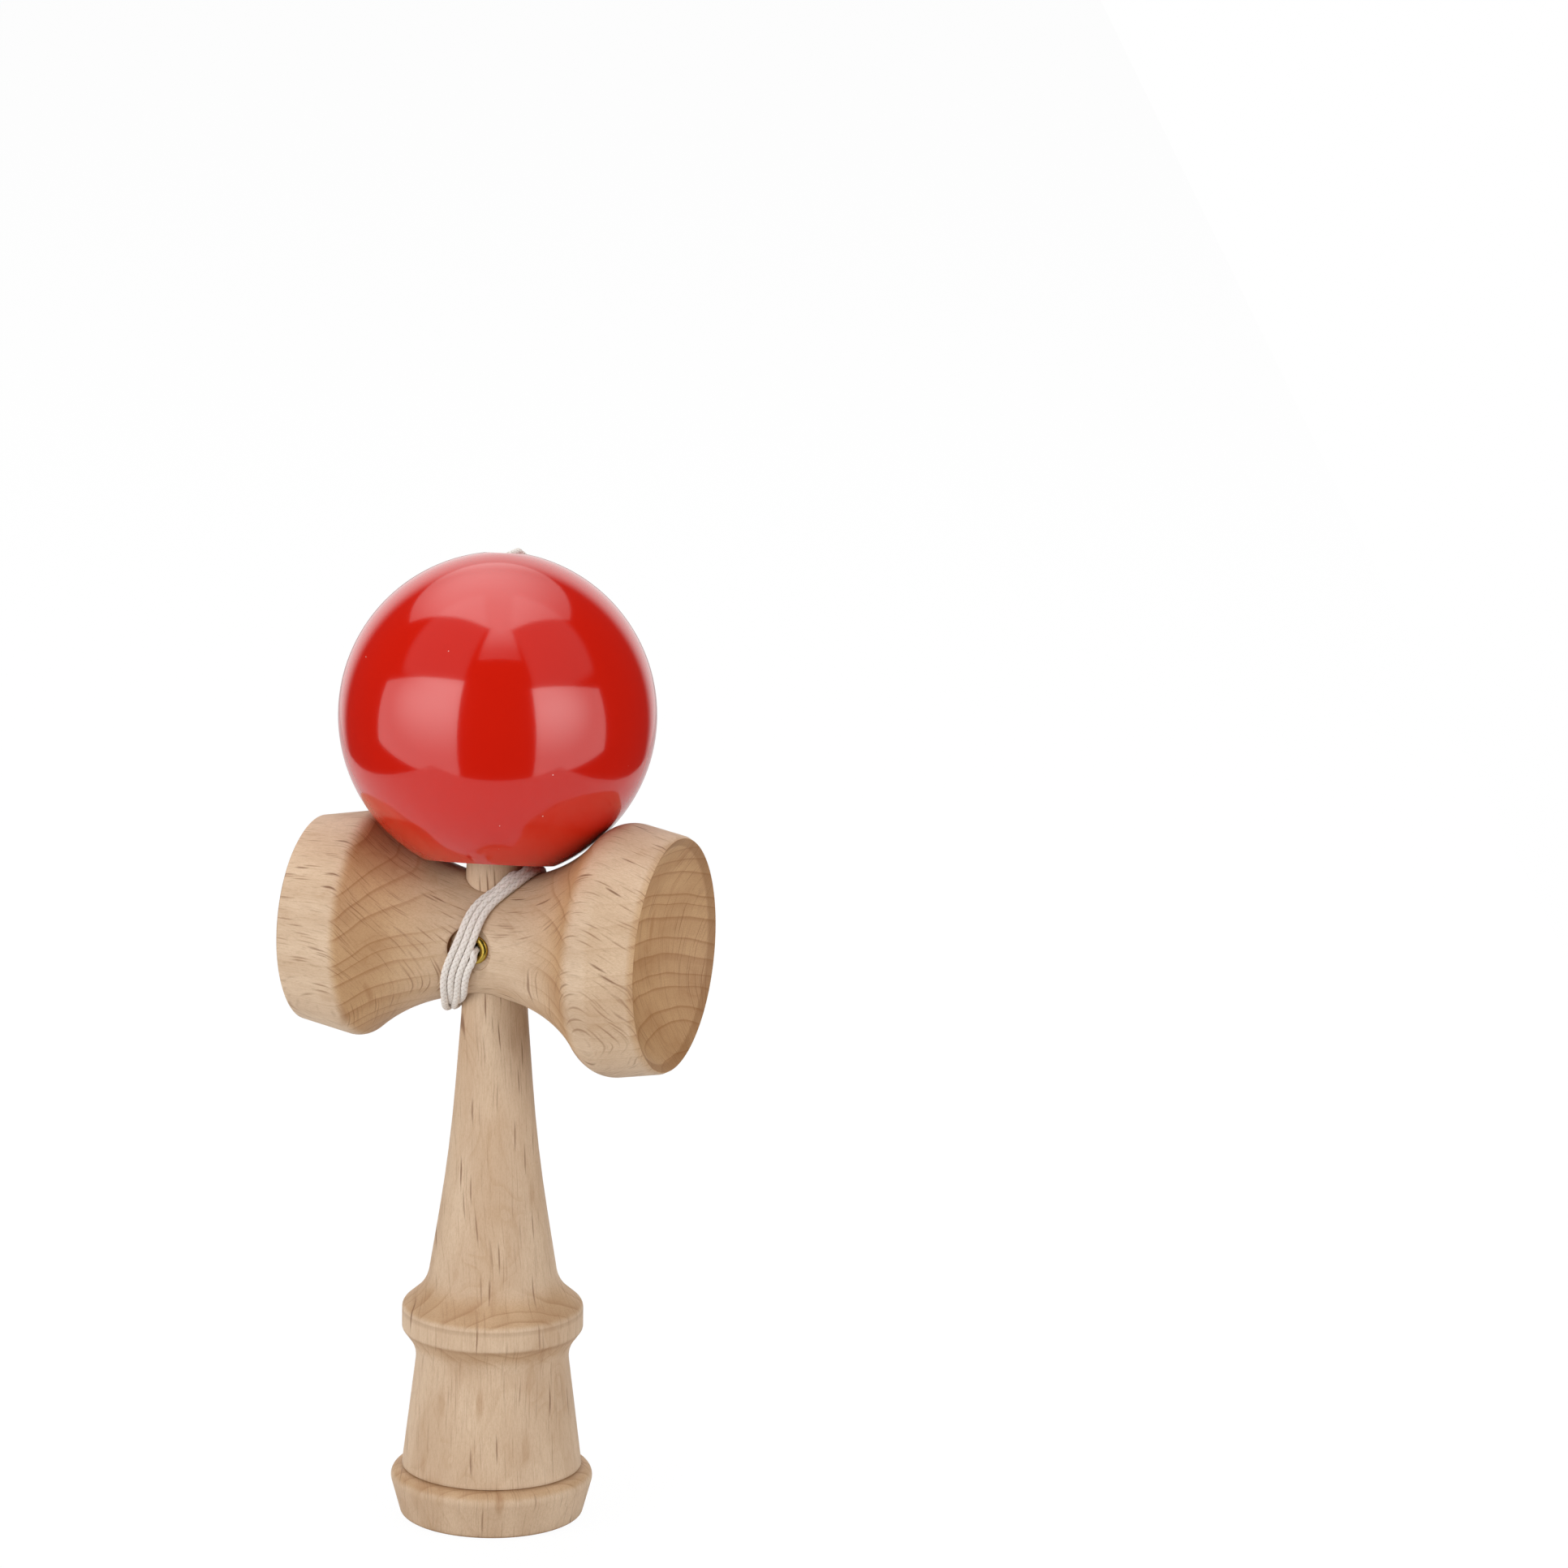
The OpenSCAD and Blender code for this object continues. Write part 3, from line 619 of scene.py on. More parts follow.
def cup_outline(cup):
    """Half the cross-piece from the bowl's middle to the waist: radius, and distance from the handle's axis.

    The bowl is a cap of a sphere inside a straight bevel. Behind the rim comes a leaning band, then a
    shoulder, then the hollow flare, whose circle touches the waist.
    """
    mouth = cup["rim_r"] - RIM_LAND - BEVEL_W
    bowl_r, bowl_rise = cap(mouth, cup["depth"], 48)
    floor = cup["rim_x"] - BEVEL_DEPTH - cup["depth"]
    hollow = columns(bowl_r, floor + bowl_rise)
    lean = math.tan(math.radians(cup["lean"]))
    slope = math.tan(math.radians(cup["angle"]))
    start = cup["flare"] * math.tan(math.radians(cup["angle"]) / 2)
    shoulder_x = (cup["rim_r"] + cup["rim_x"] * lean - WAIST_R + start * slope) / (slope + lean)
    shoulder_r = cup["rim_r"] + (cup["rim_x"] - shoulder_x) * lean
    stations = [
        (mouth, cup["rim_x"] - BEVEL_DEPTH, 0), (mouth + BEVEL_W, cup["rim_x"], 0),
        (cup["rim_r"], cup["rim_x"], RIM_ROUND), (shoulder_r, shoulder_x, cup["shoulder"]),
        (WAIST_R, start, cup["flare"]), (WAIST_R, 0.0, 0),
    ]
    return np.concatenate([hollow[:-1], rounded(stations, 2.0)])


def make_cross_piece():
    """Both cups' outlines turned about X, with the spike's bore, the eyelet's flat and its hole cut out."""
    small = cup_outline(SMALL_CUP)[::-1]
    small[:, 1] *= -1
    outline = divided(np.concatenate([cup_outline(BIG_CUP), small[1:]]), CROSS_STEP)
    piece = turned("cross_piece_wood", outline, CROSS_SIDES, ON_CROSS)
    reach = WAIST_R + 2.0
    low_z = CROSS_Z - reach
    high_z = CROSS_Z + reach
    bore = rod("bore", low_z, high_z, taper_r(low_z) + FIT_GAP, 128, UPRIGHT, taper_r(high_z) + FIT_GAP)
    top = 2 * SPOT_Y
    flat = rounded([(0, SPOT_Y, 0), (SPOT_R, SPOT_Y, SPOT_ROUND), (SPOT_R, top, 0), (0, top, 0)], 10)
    spot = turned("spot", flat, 160, (TO_FRONT[0] + [SPOT_SIDE, 0.0, 0.0], TO_FRONT[1]))
    hole_r = EYELET_BARREL_R + FIT_GAP
    hole = rod("hole", SPOT_Y - EYELET_BARREL_LEN - FIT_GAP, SPOT_Y + 1, hole_r, 64)
    thread = rod("thread", 1.0, SPOT_Y, STRING_WAY_R)
    cut(piece, bore, spot, hole, thread)
    p = points_of(piece)
    x = p[:, 0]
    y = p[:, 1]
    r = np.linalg.norm(p[:, 1:] - [0.0, CROSS_Z], axis=1)
    # Painted shade: the cups' rim bevels, the left wall of the eyelet's flat only, and the mouths of the
    # spike's bore are darkened
    rims = [
        (out > cup["rim_x"] - BEVEL_DEPTH - 0.02) * (r < cup["rim_r"] - RIM_LAND + 0.1)
        for out, cup in ((x, BIG_CUP), (-x, SMALL_CUP))
    ]
    from_spot = np.linalg.norm(p[:, [0, 2]] - [SPOT_SIDE, CROSS_Z], axis=1)
    wall = near(from_spot, SPOT_R, 0.25) * (y < -SPOT_Y + 1.0) * (y > -WAIST_R - 1.0) * (x < 0)
    from_bore = np.linalg.norm(p[:, :2], axis=1) - taper_r(p[:, 2])
    mouth = near(from_bore, 0.0, 0.25) * (abs(p[:, 2] - CROSS_Z) > 9.0) * (r < 14)
    dark = CREASE_SHADE["rim"] * np.any(rims, axis=0) + CREASE_SHADE["spot"] * wall + CREASE_SHADE["bore"] * mouth
    set_mask(piece, "painted_shade", np.clip(dark, 0, 1))
    return crisp(piece, WOOD_CREASE)


def make_ball():
    """The ball's outline turned about its axis: outside, bevel, spike's hole, string hole and countersink.

    The outside is an arc whose middle lies past the axis by (polar^2 - r^2) / 2r, so it is longer than wide.
    """
    shift = (BALL_POLAR_R ** 2 - BALL_R ** 2) / (2 * BALL_R)
    arc_r = BALL_R + shift
    mouth_r = HOLE_R + HOLE_BEVEL
    mouth_h = -math.sqrt(arc_r ** 2 - (mouth_r + shift) ** 2)
    sink_h = math.sqrt(arc_r ** 2 - (SINK_R + shift) ** 2)
    a = np.linspace(math.atan2(sink_h, SINK_R + shift), math.atan2(mouth_h, mouth_r + shift), 150)
    outside = columns(arc_r * np.cos(a) - shift, arc_r * np.sin(a))
    edge = rounded([
        tuple(outside[-3]) + (0,), tuple(outside[-1]) + (0.25,), (HOLE_R, mouth_h + HOLE_BEVEL, 0.4),
        (HOLE_R, HOLE_END, 0.8), (STRING_HOLE_R, HOLE_END, 0.25),
        (STRING_HOLE_R, BALL_POLAR_R - SINK_DEPTH, 0.3),
        tuple(outside[0]) + (0.35,), tuple(outside[2]) + (0,),
    ], 8)
    outline = np.concatenate([outside[3:-3], edge[:-1]])
    return crisp(turned("ball_lacquer", outline, BALL_SIDES, ON_BALL, closed=True), SMALL_CREASE)


def make_eyelet():
    """A rolled eyelet turned about its bore: a half-round lip over a straight barrel."""
    a = np.linspace(np.pi, 0.0, 40)
    lip_mid = (EYELET_BORE_R + EYELET_FLANGE_R) / 2
    lip_half = (EYELET_FLANGE_R - EYELET_BORE_R) / 2
    base = 0.12
    rise = EYELET_FLANGE_T - base
    lip = columns(lip_mid + lip_half * np.cos(a), base + rise * np.sin(a) ** 0.8)
    rest = np.array([
        [EYELET_FLANGE_R, 0.02], [EYELET_FLANGE_R - 0.06, 0.0], [EYELET_BARREL_R, 0.0],
        [EYELET_BARREL_R, -EYELET_BARREL_LEN + 0.1], [EYELET_BARREL_R - 0.1, -EYELET_BARREL_LEN],
        [EYELET_BORE_R, -EYELET_BARREL_LEN],
    ])
    outline = np.concatenate([lip, rest]) + [0.0, SPOT_Y]
    return crisp(turned("eyelet_brass", outline, EYELET_SIDES, TO_FRONT, closed=True), SMALL_CREASE)


def make_bead():
    """A turned bead: a sphere with a bore for the string, whose two edges are eased."""
    bore = CAD_STRING_D / 2 + 0.25
    h = math.sqrt(BEAD_R ** 2 - (bore + BEAD_EASE) ** 2)
    end = math.atan2(h, bore + BEAD_EASE)
    a = np.linspace(end, -end, 60)
    outside = columns(BEAD_R * np.cos(a), BEAD_R * np.sin(a))
    inside = np.array([[bore + 0.1, -h - 0.02], [bore, -h + 0.2], [bore, h - 0.2], [bore + 0.1, h + 0.02]])
    outline = np.concatenate([outside, inside]) + [0.0, HOLE_END - KNOT_GAP - BEAD_R]
    return crisp(turned("bead_wood", outline, BEAD_SIDES, ON_BALL, closed=True), SMALL_CREASE)


handle = make_handle()
cross_piece = make_cross_piece()
ball = make_ball()
eyelet = make_eyelet()
bead = make_bead()
for piece, body, node in [
    (handle, "handle", "handle"), (cross_piece, "handle", "cross_piece"), (ball, "ball", "ball"),
    (eyelet, "handle", "eyelet"), (bead, "bead", "bead"),
]:
    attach(piece, body)
    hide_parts(node)


# Shader helpers

def linear(red, green, blue):
    """A colour as seen on a screen, 0 to 255, as the linear colour that a shader takes."""
    c = np.array([red, green, blue], float) / 255
    c = np.where(c <= 0.04045, c / 12.92, ((c + 0.055) / 1.055) ** 2.4)
    return tuple(c.tolist()) + (1.0,)


def add(tree, kind):
    """A new shader node of a kind."""
    return tree.nodes.new("ShaderNode" + kind)


def put(tree, socket, value):
    """Links a socket to the value if that is a socket too, and otherwise sets it."""
    if isinstance(value, bpy.types.NodeSocket):
        tree.links.new(value, socket)
    else:
        socket.default_value = value


def feed(tree, node, inputs):
    """Links or sets the inputs of a node that are named."""
    for name, value in inputs.items():
        put(tree, node.inputs[name], value)


def fill(tree, node, values):
    """Links or sets the inputs of a node in turn."""
    for socket, value in zip(node.inputs, values):
        put(tree, socket, value)


def calc(tree, operation, *values):
    """A Math node on up to three values."""
    node = add(tree, "Math")
    node.operation = operation
    fill(tree, node, values)
    return node.outputs[0]


def times(tree, first, second):
    """The product of two values."""
    return calc(tree, "MULTIPLY", first, second)


def sloped(tree, value, by, plus):
    """A value times a second, plus a third."""
    return calc(tree, "MULTIPLY_ADD", value, by, plus)


def vector(tree, operation, *values):
    """A Vector Math node; LENGTH and DOT_PRODUCT give a value."""
    node = add(tree, "VectorMath")
    node.operation = operation
    fill(tree, node, values)
    return node.outputs["Value" if operation in ("LENGTH", "DOT_PRODUCT") else "Vector"]


def scaled(tree, place, by, by_z=None):
    """A place with X and Y times one number, and Z times another or else the same."""
    return vector(tree, "MULTIPLY", place, (by, by, by if by_z is None else by_z))


def joined(tree, x, y, z):
    """Three values as one vector."""
    node = add(tree, "CombineXYZ")
    fill(tree, node, (x, y, z))
    return node.outputs[0]


def split(tree, value):
    """A vector's three values."""
    node = add(tree, "SeparateXYZ")
    put(tree, node.inputs[0], value)
    return node.outputs


def noise(tree, place, detail=2.0, rough=0.5, flow=0.0):
    """Noise of unit scale at a place."""
    node = add(tree, "TexNoise")
    feed(tree, node, {"Vector": place, "Scale": 1.0})
    feed(tree, node, {"Detail": detail, "Roughness": rough, "Distortion": flow})
    return node.outputs


def cells(tree, place):
    """Scattered points of unit spacing: the distance to the nearest, and that point's own random colour."""
    node = add(tree, "TexVoronoi")
    feed(tree, node, {"Vector": place, "Scale": 1.0, "Randomness": 1.0})
    return node.outputs


def ease(tree, value, low, high, out_low=0.0, out_high=1.0):
    """A smooth step from out_low to out_high as value goes from low to high."""
    node = add(tree, "MapRange")
    node.interpolation_type = "SMOOTHSTEP"
    feed(tree, node, {"Value": value, "From Min": low, "From Max": high})
    feed(tree, node, {"To Min": out_low, "To Max": out_high})
    return node.outputs["Result"]


def ridge(tree, share, low, top):
    """A line that rises as the share goes from low to top, and falls again from there to 1."""
    return times(tree, ease(tree, share, low, top), ease(tree, share, top, 1.0, 1.0, 0.0))


def blend_colour(tree, share, first, second, kind="MIX"):
    """Mix of two colours, the first from a node or both as seen on a screen."""
    first = first if isinstance(first, bpy.types.NodeSocket) else linear(*first)
    node = add(tree, "Mix")
    node.data_type = "RGBA"
    node.blend_type = kind
    put(tree, node.inputs[0], share)
    put(tree, node.inputs[6], first)
    put(tree, node.inputs[7], linear(*second))
    return node.outputs[2]


def mask(tree, name):
    """The value of a named attribute."""
    node = add(tree, "Attribute")
    node.attribute_name = name
    return node.outputs["Fac"]


def new_material(name):
    """An empty material: its tree, its shader and its output."""
    material = bpy.data.materials.new(name)
    material.use_nodes = True
    tree = material.node_tree
    tree.nodes.clear()
    out = add(tree, "OutputMaterial")
    shader = add(tree, "BsdfPrincipled")
    tree.links.new(shader.outputs[0], out.inputs["Surface"])
    return material, tree, shader, out


def place_in_mm(tree):
    """A point's place in the CAD frame at rest, in millimetres."""
    return scaled(tree, add(tree, "TexCoord").outputs["Object"], 1.0 / MM)


def raise_surface(tree, shader, height, distance, strength):
    """Bump on the shader's normal, distance in metres."""
    node = add(tree, "Bump")
    feed(tree, node, {"Strength": strength, "Distance": distance, "Height": height})
    put(tree, shader.inputs["Normal"], node.outputs[0])


def show_mix(tree, share, first, second, out):
    """Sends a mix of two shaders to the output, with the given share of the second."""
    mix = add(tree, "MixShader")
    put(tree, mix.inputs[0], share)
    tree.links.new(first.outputs[0], mix.inputs[1])
    tree.links.new(second.outputs[0], mix.inputs[2])
    tree.links.new(mix.outputs[0], out.inputs["Surface"])


def new_group(name, inputs, outputs):
    """An empty shader node group with named sockets."""
    tree = bpy.data.node_groups.new(name, "ShaderNodeTree")
    for side, sockets in (("INPUT", inputs), ("OUTPUT", outputs)):
        for label, kind in sockets:
            tree.interface.new_socket(name=label, in_out=side, socket_type=kind)
    return tree, tree.nodes.new("NodeGroupInput").outputs, tree.nodes.new("NodeGroupOutput").inputs


# Materials

RING_SPACING = 3.2
DUST_PLACE = (13.0, -22.0, 140.0)


def beech_group():
    """Solid beech, in millimetres from the pith with the grain along Z.

    Growth rings are cylinders round the pith, drawn where the ring's share reaches its end and clearest on
    end grain. Rays are thin lenses, upright along the grain and long along the radius, which show as dashes
    across the radius, as flecks along it and as fine spokes on end grain. Fibres are noise drawn out along
    the grain, and the figure is the contour lines of a slow noise.
    """
    numbers = ("Pith Distance", "Ray Length", "Ray Strength", "End Grain", "Painted Shade")
    tree, given, result = new_group(
        "beech",
        [("Place", "NodeSocketVector")] + [(label, "NodeSocketFloat") for label in numbers],
        [("Color", "NodeSocketColor"), ("Roughness", "NodeSocketFloat"), ("Height", "NodeSocketFloat")],
    )
    place = given["Place"]
    end_grain = given["End Grain"]
    wander = noise(tree, scaled(tree, place, 0.06, 0.03))["Color"]
    wander = scaled(tree, vector(tree, "SUBTRACT", wander, (0.5, 0.5, 0.5)), 4.0, 0.0)
    moved = split(tree, vector(tree, "ADD", place, wander))
    radius = vector(tree, "LENGTH", joined(tree, moved[0], moved[1], 0.0))
    arc = times(tree, calc(tree, "ARCTAN2", moved[1], moved[0]), given["Pith Distance"])
    drift = noise(tree, joined(tree, times(tree, radius, 0.2), 0.0, 0.0), 1.0)["Fac"]
    ring = sloped(tree, radius, 1.0 / RING_SPACING, times(tree, drift, 2.0))
    share = calc(tree, "FRACT", ring)
    line = ridge(tree, share, 0.80, 0.96)
    late = calc(tree, "POWER", share, 2.0)

    def lenses(thick, tall, deep, size, rare):
        """Rays of one size, in millimetres: points stretched along grain and radius, some left out."""
        across_grain = times(tree, arc, 1.0 / thick)
        upright = calc(tree, "DIVIDE", moved[2], tall)
        spot = cells(tree, joined(tree, across_grain, upright, times(tree, radius, 1.0 / deep)))
        shape = ease(tree, spot["Distance"], size, 0.1)
        chosen = ease(tree, split(tree, spot["Color"])[0], rare, 1.0)
        return times(tree, shape, chosen)

    rays = times(tree, lenses(0.26, given["Ray Length"], 12.0, size=0.50, rare=0.25), given["Ray Strength"])
    bold_rays = lenses(0.5, times(tree, given["Ray Length"], 1.15), 14.0, size=0.36, rare=0.54)
    bold_rays = times(tree, bold_rays, sloped(tree, end_grain, -0.6, 1.0))
    fine_rays = times(tree, lenses(0.2, 1.6, 4.0, size=0.5, rare=0.15), given["Ray Strength"])
    soft_marks = lenses(2.4, 13.0, 17.0, size=0.34, rare=0.55)
    fibre = noise(tree, scaled(tree, place, 4.5, 0.3), 3.0, 0.6)["Fac"]
    pores = noise(tree, scaled(tree, place, 7.0, 1.8), 2.0, 0.6)["Fac"]
    patch = noise(tree, scaled(tree, place, 0.11, 0.035))["Fac"]
    slow = noise(tree, scaled(tree, place, 0.10, 0.045), 1.0, 0.5, 0.8)["Fac"]
    figure = ridge(tree, calc(tree, "FRACT", times(tree, slow, 9.0)), 0.55, 0.95)
    figure = times(tree, figure, ease(tree, patch, 0.48, 0.62))

    late_share = times(tree, late, sloped(tree, end_grain, 0.22, 0.08))
    line_share = times(tree, line, sloped(tree, end_grain, 0.36, 0.06))
    colour = blend_colour(tree, ease(tree, patch, 0.3, 0.7), (223, 197, 168), (206, 177, 147))
    for layer, tone in [
        (ease(tree, fibre, 0.35, 0.72, 0.0, 0.32), (186, 150, 116)),
        (ease(tree, pores, 0.48, 0.75, 0.0, 0.26), (170, 132, 98)),
        (late_share, (184, 146, 108)),
        (times(tree, figure, 0.20), (176, 134, 94)),
        (line_share, (160, 114, 72)),
        (times(tree, soft_marks, 0.45), (172, 130, 92)),
        (times(tree, fine_rays, 0.30), (146, 106, 76)),
        (times(tree, rays, 0.85), (140, 98, 64)),
        (times(tree, bold_rays, 0.90), (126, 85, 56)),
    ]:
        colour = blend_colour(tree, layer, colour, tone)
    colour = blend_colour(tree, end_grain, colour, (232, 213, 185), "MULTIPLY")
    # Painted shade in creases, recesses and edges mixes the wood towards dark brown
    colour = blend_colour(tree, times(tree, given["Painted Shade"], 0.85), colour, (132, 86, 46))
    put(tree, result["Color"], colour)
    dents = calc(tree, "ADD", times(tree, bold_rays, 0.8), times(tree, rays, 0.5))
    put(tree, result["Height"], calc(tree, "SUBTRACT", times(tree, fibre, 0.5), dents))
    put(tree, result["Roughness"], sloped(tree, pores, 0.18, 0.46))
    return tree


BEECH = beech_group()


def beech_material(name, pith, grain, pith_distance, ray_length, ray_strength, end_grain):
    """Waxed beech, with a point of its pith in millimetres and the way of its grain in the CAD frame."""
    material, tree, shader, _ = new_material(name)
    from_pith = vector(tree, "SUBTRACT", place_in_mm(tree), pith)
    in_grain = [vector(tree, "DOT_PRODUCT", from_pith, tuple(axis)) for axis in axes_along(grain)]
    normal = add(tree, "TexCoord").outputs["Normal"]
    facing = calc(tree, "ABSOLUTE", vector(tree, "DOT_PRODUCT", normal, tuple(unit(np.array(grain)))))
    wood = add(tree, "Group")
    wood.node_tree = BEECH
    feed(tree, wood, {
        "Place": joined(tree, *in_grain), "Pith Distance": pith_distance, "Ray Length": ray_length,
        "Ray Strength": ray_strength, "End Grain": ease(tree, facing, 0.2, 0.75, 0.0, end_grain),
        "Painted Shade": mask(tree, "painted_shade"),
    })
    feed(tree, shader, {"Base Color": wood.outputs["Color"], "Roughness": wood.outputs["Roughness"]})
    feed(tree, shader, {"Specular IOR Level": 0.35})
    raise_surface(tree, shader, wood.outputs["Height"], 0.00006, 0.6)
    return material


def lacquer_material():
    """Thick red gloss lacquer: a deep colour under a clear coat, with a few specks of dust."""
    material, tree, shader, _ = new_material("red_lacquer")
    place = place_in_mm(tree)
    tone = noise(tree, scaled(tree, place, 0.05))["Fac"]
    colour = blend_colour(tree, tone, (207, 25, 3), (201, 22, 3))
    grain = cells(tree, scaled(tree, place, 0.8))
    speck = ease(tree, grain["Distance"], 0.13, 0.07)
    chance = split(tree, grain["Color"])[0]
    from_dust = vector(tree, "LENGTH", vector(tree, "SUBTRACT", place, DUST_PLACE))
    dusty = ease(tree, from_dust, 9.0, 4.0, 0.0, 0.42)
    speck = times(tree, speck, calc(tree, "GREATER_THAN", calc(tree, "ADD", dusty, 0.012), chance))
    colour = blend_colour(tree, times(tree, speck, 0.85), colour, (245, 222, 214))
    feed(tree, shader, {"Base Color": colour, "Roughness": 0.12})
    feed(tree, shader, {"Coat Weight": 0.35, "Coat Roughness": 0.03})
    peel = noise(tree, scaled(tree, place, 0.9))["Fac"]
    raise_surface(tree, shader, sloped(tree, speck, 0.6, peel), 0.00002, 0.25)
    return material


def brass_material():
    """Rolled brass with uneven wear."""
    material, tree, shader, _ = new_material("rolled_brass")
    wear = noise(tree, scaled(tree, place_in_mm(tree), 2.5), 3.0)["Fac"]
    colour = blend_colour(tree, wear, (205, 176, 84), (160, 132, 52))
    feed(tree, shader, {"Base Color": colour, "Metallic": 1.0, "Roughness": sloped(tree, wear, 0.2, 0.1)})
    raise_surface(tree, shader, wear, 0.00002, 0.3)
    return material


def cotton_material():
    """Off-white braided cotton, with painted shade in the braid's hollows and a fine fuzz."""
    material, tree, shader, _ = new_material("braided_cotton")
    height = mask(tree, "braid_height")
    fuzz = noise(tree, scaled(tree, place_in_mm(tree), 7.0), 3.0, 0.6)["Fac"]
    # Painted shade: the lower parts of the braid's relief are mixed towards a darker beige
    colour = blend_colour(tree, ease(tree, height, 0.05, 0.6), (196, 182, 170), (240, 233, 226))
    colour = blend_colour(tree, times(tree, fuzz, 0.25), colour, (222, 210, 200))
    feed(tree, shader, {
        "Base Color": colour, "Roughness": 0.85, "Specular IOR Level": 0.25, "Sheen Weight": 0.15,
    })
    raise_surface(tree, shader, fuzz, 0.00005, 0.5)
    return material


handle_beech = beech_material(
    "handle_beech", pith=(-25.0, 31.0, 0.0), grain=(0.0, 0.0, 1.0), pith_distance=40.0,
    ray_length=10.0, ray_strength=0.4, end_grain=0.6)
cross_beech = beech_material(
    "cross_beech", pith=(0.0, 10.0, 66.0), grain=(0.985, -0.17, 0.0), pith_distance=50.0,
    ray_length=6.0, ray_strength=0.75, end_grain=1.0)
bead_beech = beech_material(
    "bead_beech", pith=(-30.0, -30.0, 0.0), grain=(0.0, 0.0, 1.0), pith_distance=45.0,
    ray_length=5.0, ray_strength=0.6, end_grain=0.6)
cotton = cotton_material()
for piece, material, slot in [
    (handle, handle_beech, "beech"), (cross_piece, cross_beech, "beech"), (bead, bead_beech, "bead_wood"),
    (ball, lacquer_material(), "red_lacquer"), (eyelet, brass_material(), "brass"),
    *[(cord, cotton, "cotton") for cord in (string_wound, string_free, knot_at_handle, knot_at_bead)],
]:
    piece.data.materials.clear()
    piece.data.materials.append(material)


# Floor, lamps and surroundings

# Directions on the table, as the camera sees it: to its right, and towards it
TO_RIGHT = np.array([0.9284, 0.3715, 0.0])
TO_CAMERA = np.array([0.3715, -0.9284, 0.0])
FLOOR_LEVEL = -0.0003
FLOOR_GLOW = 0.94
FLOOR_GREY = (0.70, 0.70, 0.70, 1.0)
FLOOR_LIGHT = 1.03
FLOOR_MIRRORED = 0.1
WHITE = (1.0, 1.0, 1.0, 1.0)
UP = np.array([0.0, 0.0, 1.0])
TABLE_LEFT = -0.28
TABLE_RIGHT = 0.26
TABLE_FRONT = 0.25
TABLE_BACK = -2.6

# Radiance of the lamps, and how a standing one fades from its hot spot
SIDE_RADIANCE = 1.75
TOP_RADIANCE = 1.65
HOT_SPOT = 2.1
HOT_EDGE = 0.85
HOT_REACH = 0.6

# The ellipse of light overhead: how far its middle lies to the left and back, and half its size
CEILING_LEFT = 0.13
CEILING_BACK = 0.05
CEILING_HALF = (0.74, 1.15, 1.0)


def on_table(right, nearer, level):
    """A place in metres from its distances to the right, towards the camera and up."""
    return TO_RIGHT * right + TO_CAMERA * nearer + UP * level


def seen_rays(tree, glossy_share):
    """1 for rays that the camera sees or sees through glass, and the given share for mirrored ones."""
    rays = add(tree, "LightPath")
    straight = calc(tree, "MAXIMUM", rays.outputs["Is Camera Ray"], rays.outputs["Is Transmission Ray"])
    return calc(tree, "MAXIMUM", straight, times(tree, rays.outputs["Is Glossy Ray"], glossy_share))


def make_floor():
    """A pale table top that ends a quarter of a metre in front of the object and runs far back."""
    corners = [
        (TABLE_LEFT, TABLE_FRONT), (TABLE_RIGHT, TABLE_FRONT),
        (TABLE_RIGHT, TABLE_BACK), (TABLE_LEFT, TABLE_BACK),
    ]
    points = np.stack([on_table(right, nearer, FLOOR_LEVEL) for right, nearer in corners]) / MM
    floor = mesh_object("floor", points, [np.array([[0, 1, 2, 3]])])
    material, tree, shader, out = new_material("floor_white")
    feed(tree, shader, {"Base Color": FLOOR_GREY, "Roughness": 0.6, "Specular IOR Level": 0.0})
    glow = add(tree, "Emission")
    feed(tree, glow, {"Color": WHITE, "Strength": FLOOR_LIGHT})
    show_mix(tree, times(tree, seen_rays(tree, FLOOR_MIRRORED), FLOOR_GLOW), shader, glow, out)
    floor.data.materials.append(material)


def make_surroundings():
    """White to the camera. To all else bright behind the object, dim on the tent's sides, dark in front."""
    world = bpy.data.worlds.new("surroundings")
    scene.world = world
    world.use_nodes = True
    tree = world.node_tree
    tree.nodes.clear()
    out = add(tree, "OutputWorld")
    direction = add(tree, "TexCoord").outputs["Generated"]
    nearer = vector(tree, "DOT_PRODUCT", direction, tuple(TO_CAMERA))
    aside = calc(tree, "ABSOLUTE", vector(tree, "DOT_PRODUCT", direction, tuple(TO_RIGHT)))
    height = split(tree, direction)[2]
    behind = ease(tree, nearer, -0.72, -0.94)
    beyond_gap = sloped(tree, calc(tree, "MAXIMUM", nearer, 0.25), -0.6, aside)
    tent = times(tree, ease(tree, beyond_gap, -0.05, 0.01), ease(tree, height, 0.38, 0.48))
    raised = sloped(tree, height, 0.7, nearer)
    tent = times(tree, tent, ease(tree, raised, 0.30, 0.42))
    level = sloped(tree, behind, 0.85, 0.05)
    seen = add(tree, "Background")
    feed(tree, seen, {"Color": WHITE, "Strength": 1.0})
    around = add(tree, "Background")
    feed(tree, around, {"Color": WHITE, "Strength": sloped(tree, tent, 0.42, level)})
    show_mix(tree, seen_rays(tree, behind), around, seen, out)


def lamp_front(data):
    """A lamp's tree, its glow's strength, and the place on its front as shares of its width and height."""
    data.use_nodes = True
    tree = data.node_tree
    glow = next(node for node in tree.nodes if node.type == "EMISSION")
    return tree, glow.inputs["Strength"], add(tree, "NewGeometry").outputs["Parametric"]


def light_up(data, hot_spot):
    """Makes a lamp's front brightest at a place, given as shares of its size, and dimmer away from it."""
    tree, strength, over_front = lamp_front(data)
    away = vector(tree, "LENGTH", vector(tree, "SUBTRACT", over_front, hot_spot))
    put(tree, strength, ease(tree, away, 0.0, HOT_REACH, HOT_SPOT, HOT_EDGE))


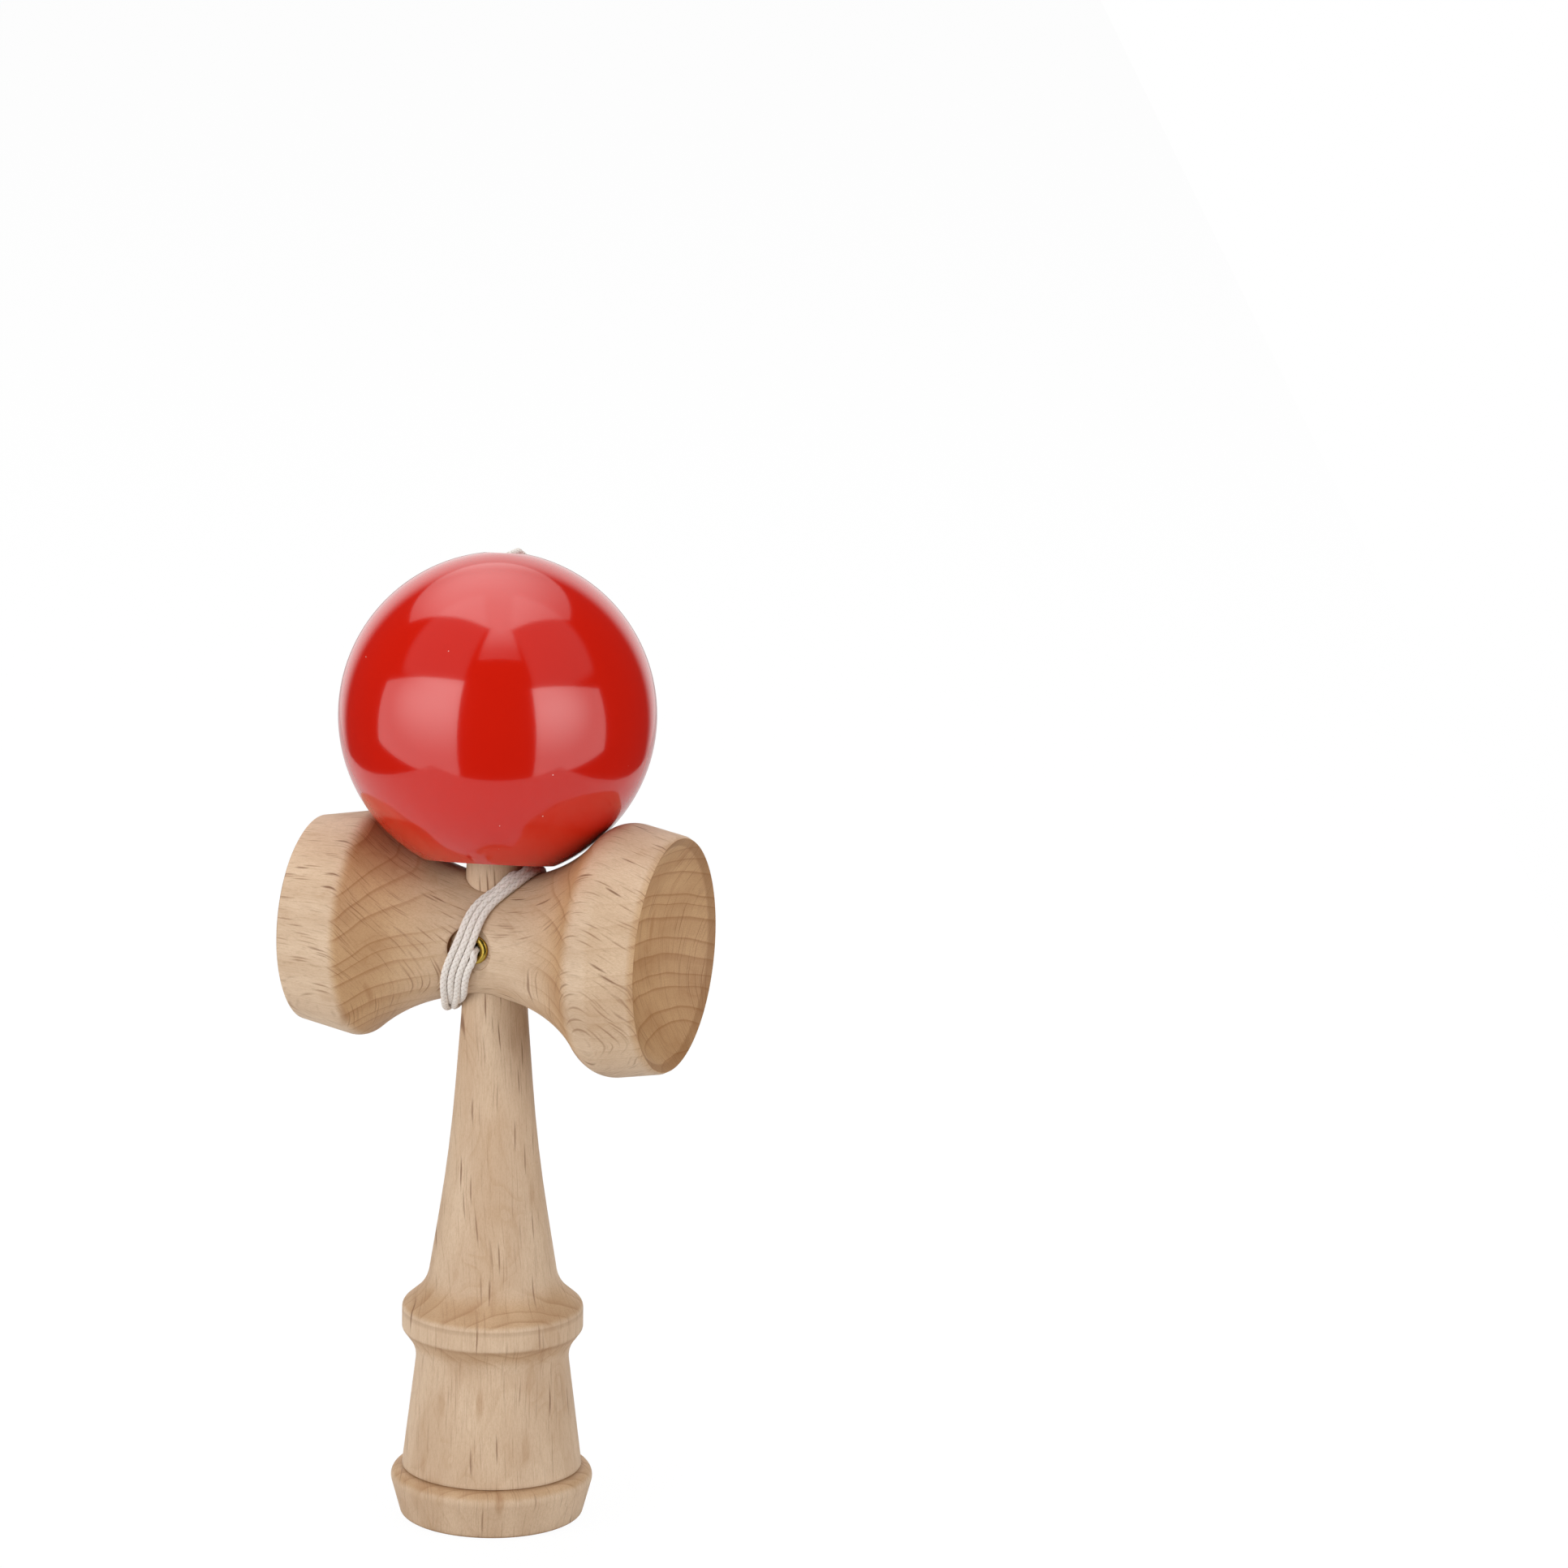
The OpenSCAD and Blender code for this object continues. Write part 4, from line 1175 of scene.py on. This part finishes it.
def light_ceiling(data, left, right, front, back):
    """Shapes the lamp overhead as the ball mirrors it.

    It is an ellipse on its far side. On its near side two screens leave a wedge, and a gap that widens.
    """
    tree, strength, over_front = lamp_front(data)
    over_front = split(tree, over_front)
    aside = sloped(tree, over_front[0], right - left, left)
    nearer = sloped(tree, over_front[1], back - front, front)
    off = calc(tree, "ABSOLUTE", calc(tree, "SUBTRACT", aside, 0.02))
    from_left = calc(tree, "ADD", aside, CEILING_LEFT)
    from_back = calc(tree, "ADD", nearer, CEILING_BACK)
    reach = vector(tree, "DIVIDE", joined(tree, from_left, from_back, 0.0), CEILING_HALF)
    reach = vector(tree, "LENGTH", reach)
    wedge = ease(tree, sloped(tree, off, 0.85, nearer), 0.30, 0.25)
    gap = ease(tree, sloped(tree, nearer, -0.42, off), 0.02, -0.02)
    gap = times(tree, gap, ease(tree, nearer, 0.2, 0.5, 0.9, 0.35))
    shown = times(tree, calc(tree, "MAXIMUM", wedge, gap), ease(tree, reach, 1.02, 0.97))
    put(tree, strength, times(tree, shown, ease(tree, reach, 0.2, 1.0, 1.4, 0.5)))


def softbox(name, middle, along, out, width, height, radiance):
    """A lamp with a flat front: along is the way of its width, and out points from its front to its back."""
    data = bpy.data.lights.new(name, "AREA")
    data.shape = "RECTANGLE"
    data.size = width
    data.size_y = height
    data.energy = radiance * math.pi * width * height
    lamp = bpy.data.objects.new(name, data)
    lamp.location = middle
    lamp.rotation_mode = "QUATERNION"
    turn = Matrix(np.stack([along, np.cross(out, along), out], axis=1).tolist())
    lamp.rotation_quaternion = turn.to_quaternion()
    lamp.visible_camera = False
    scene.collection.objects.link(lamp)
    return data


def standing_box(name, first, second, low, high, hot_spot):
    """An upright softbox between two places on the table, to the right and towards the camera, facing in."""
    a = on_table(*first, (low + high) / 2)
    b = on_table(*second, (low + high) / 2)
    along = unit(b - a)
    out = np.cross(along, UP)
    out = out if out @ a > 0 else -out
    width = float(np.linalg.norm(b - a))
    light_up(softbox(name, (a + b) / 2, along, out, width, high - low, SIDE_RADIANCE), hot_spot)


def hanging_box(name, left, right, front, back, level):
    """A softbox that lies level above the object."""
    middle = on_table((left + right) / 2, (front + back) / 2, level)
    data = softbox(name, middle, TO_RIGHT, UP, right - left, front - back, TOP_RADIANCE)
    light_ceiling(data, left, right, front, back)


make_floor()
make_surroundings()
standing_box("lamp_left", (-0.296, 0.547), (-1.50, -0.12), low=-0.21, high=0.58, hot_spot=(0.15, 0.25, 0.0))
standing_box("lamp_right", (0.283, 0.551), (1.20, 0.145), low=-0.20, high=0.51, hot_spot=(0.15, 0.75, 0.0))
hanging_box("lamp_top", left=-0.90, right=0.62, front=0.575, back=-1.22, level=0.90)
scene.view_settings.view_transform = "Standard"
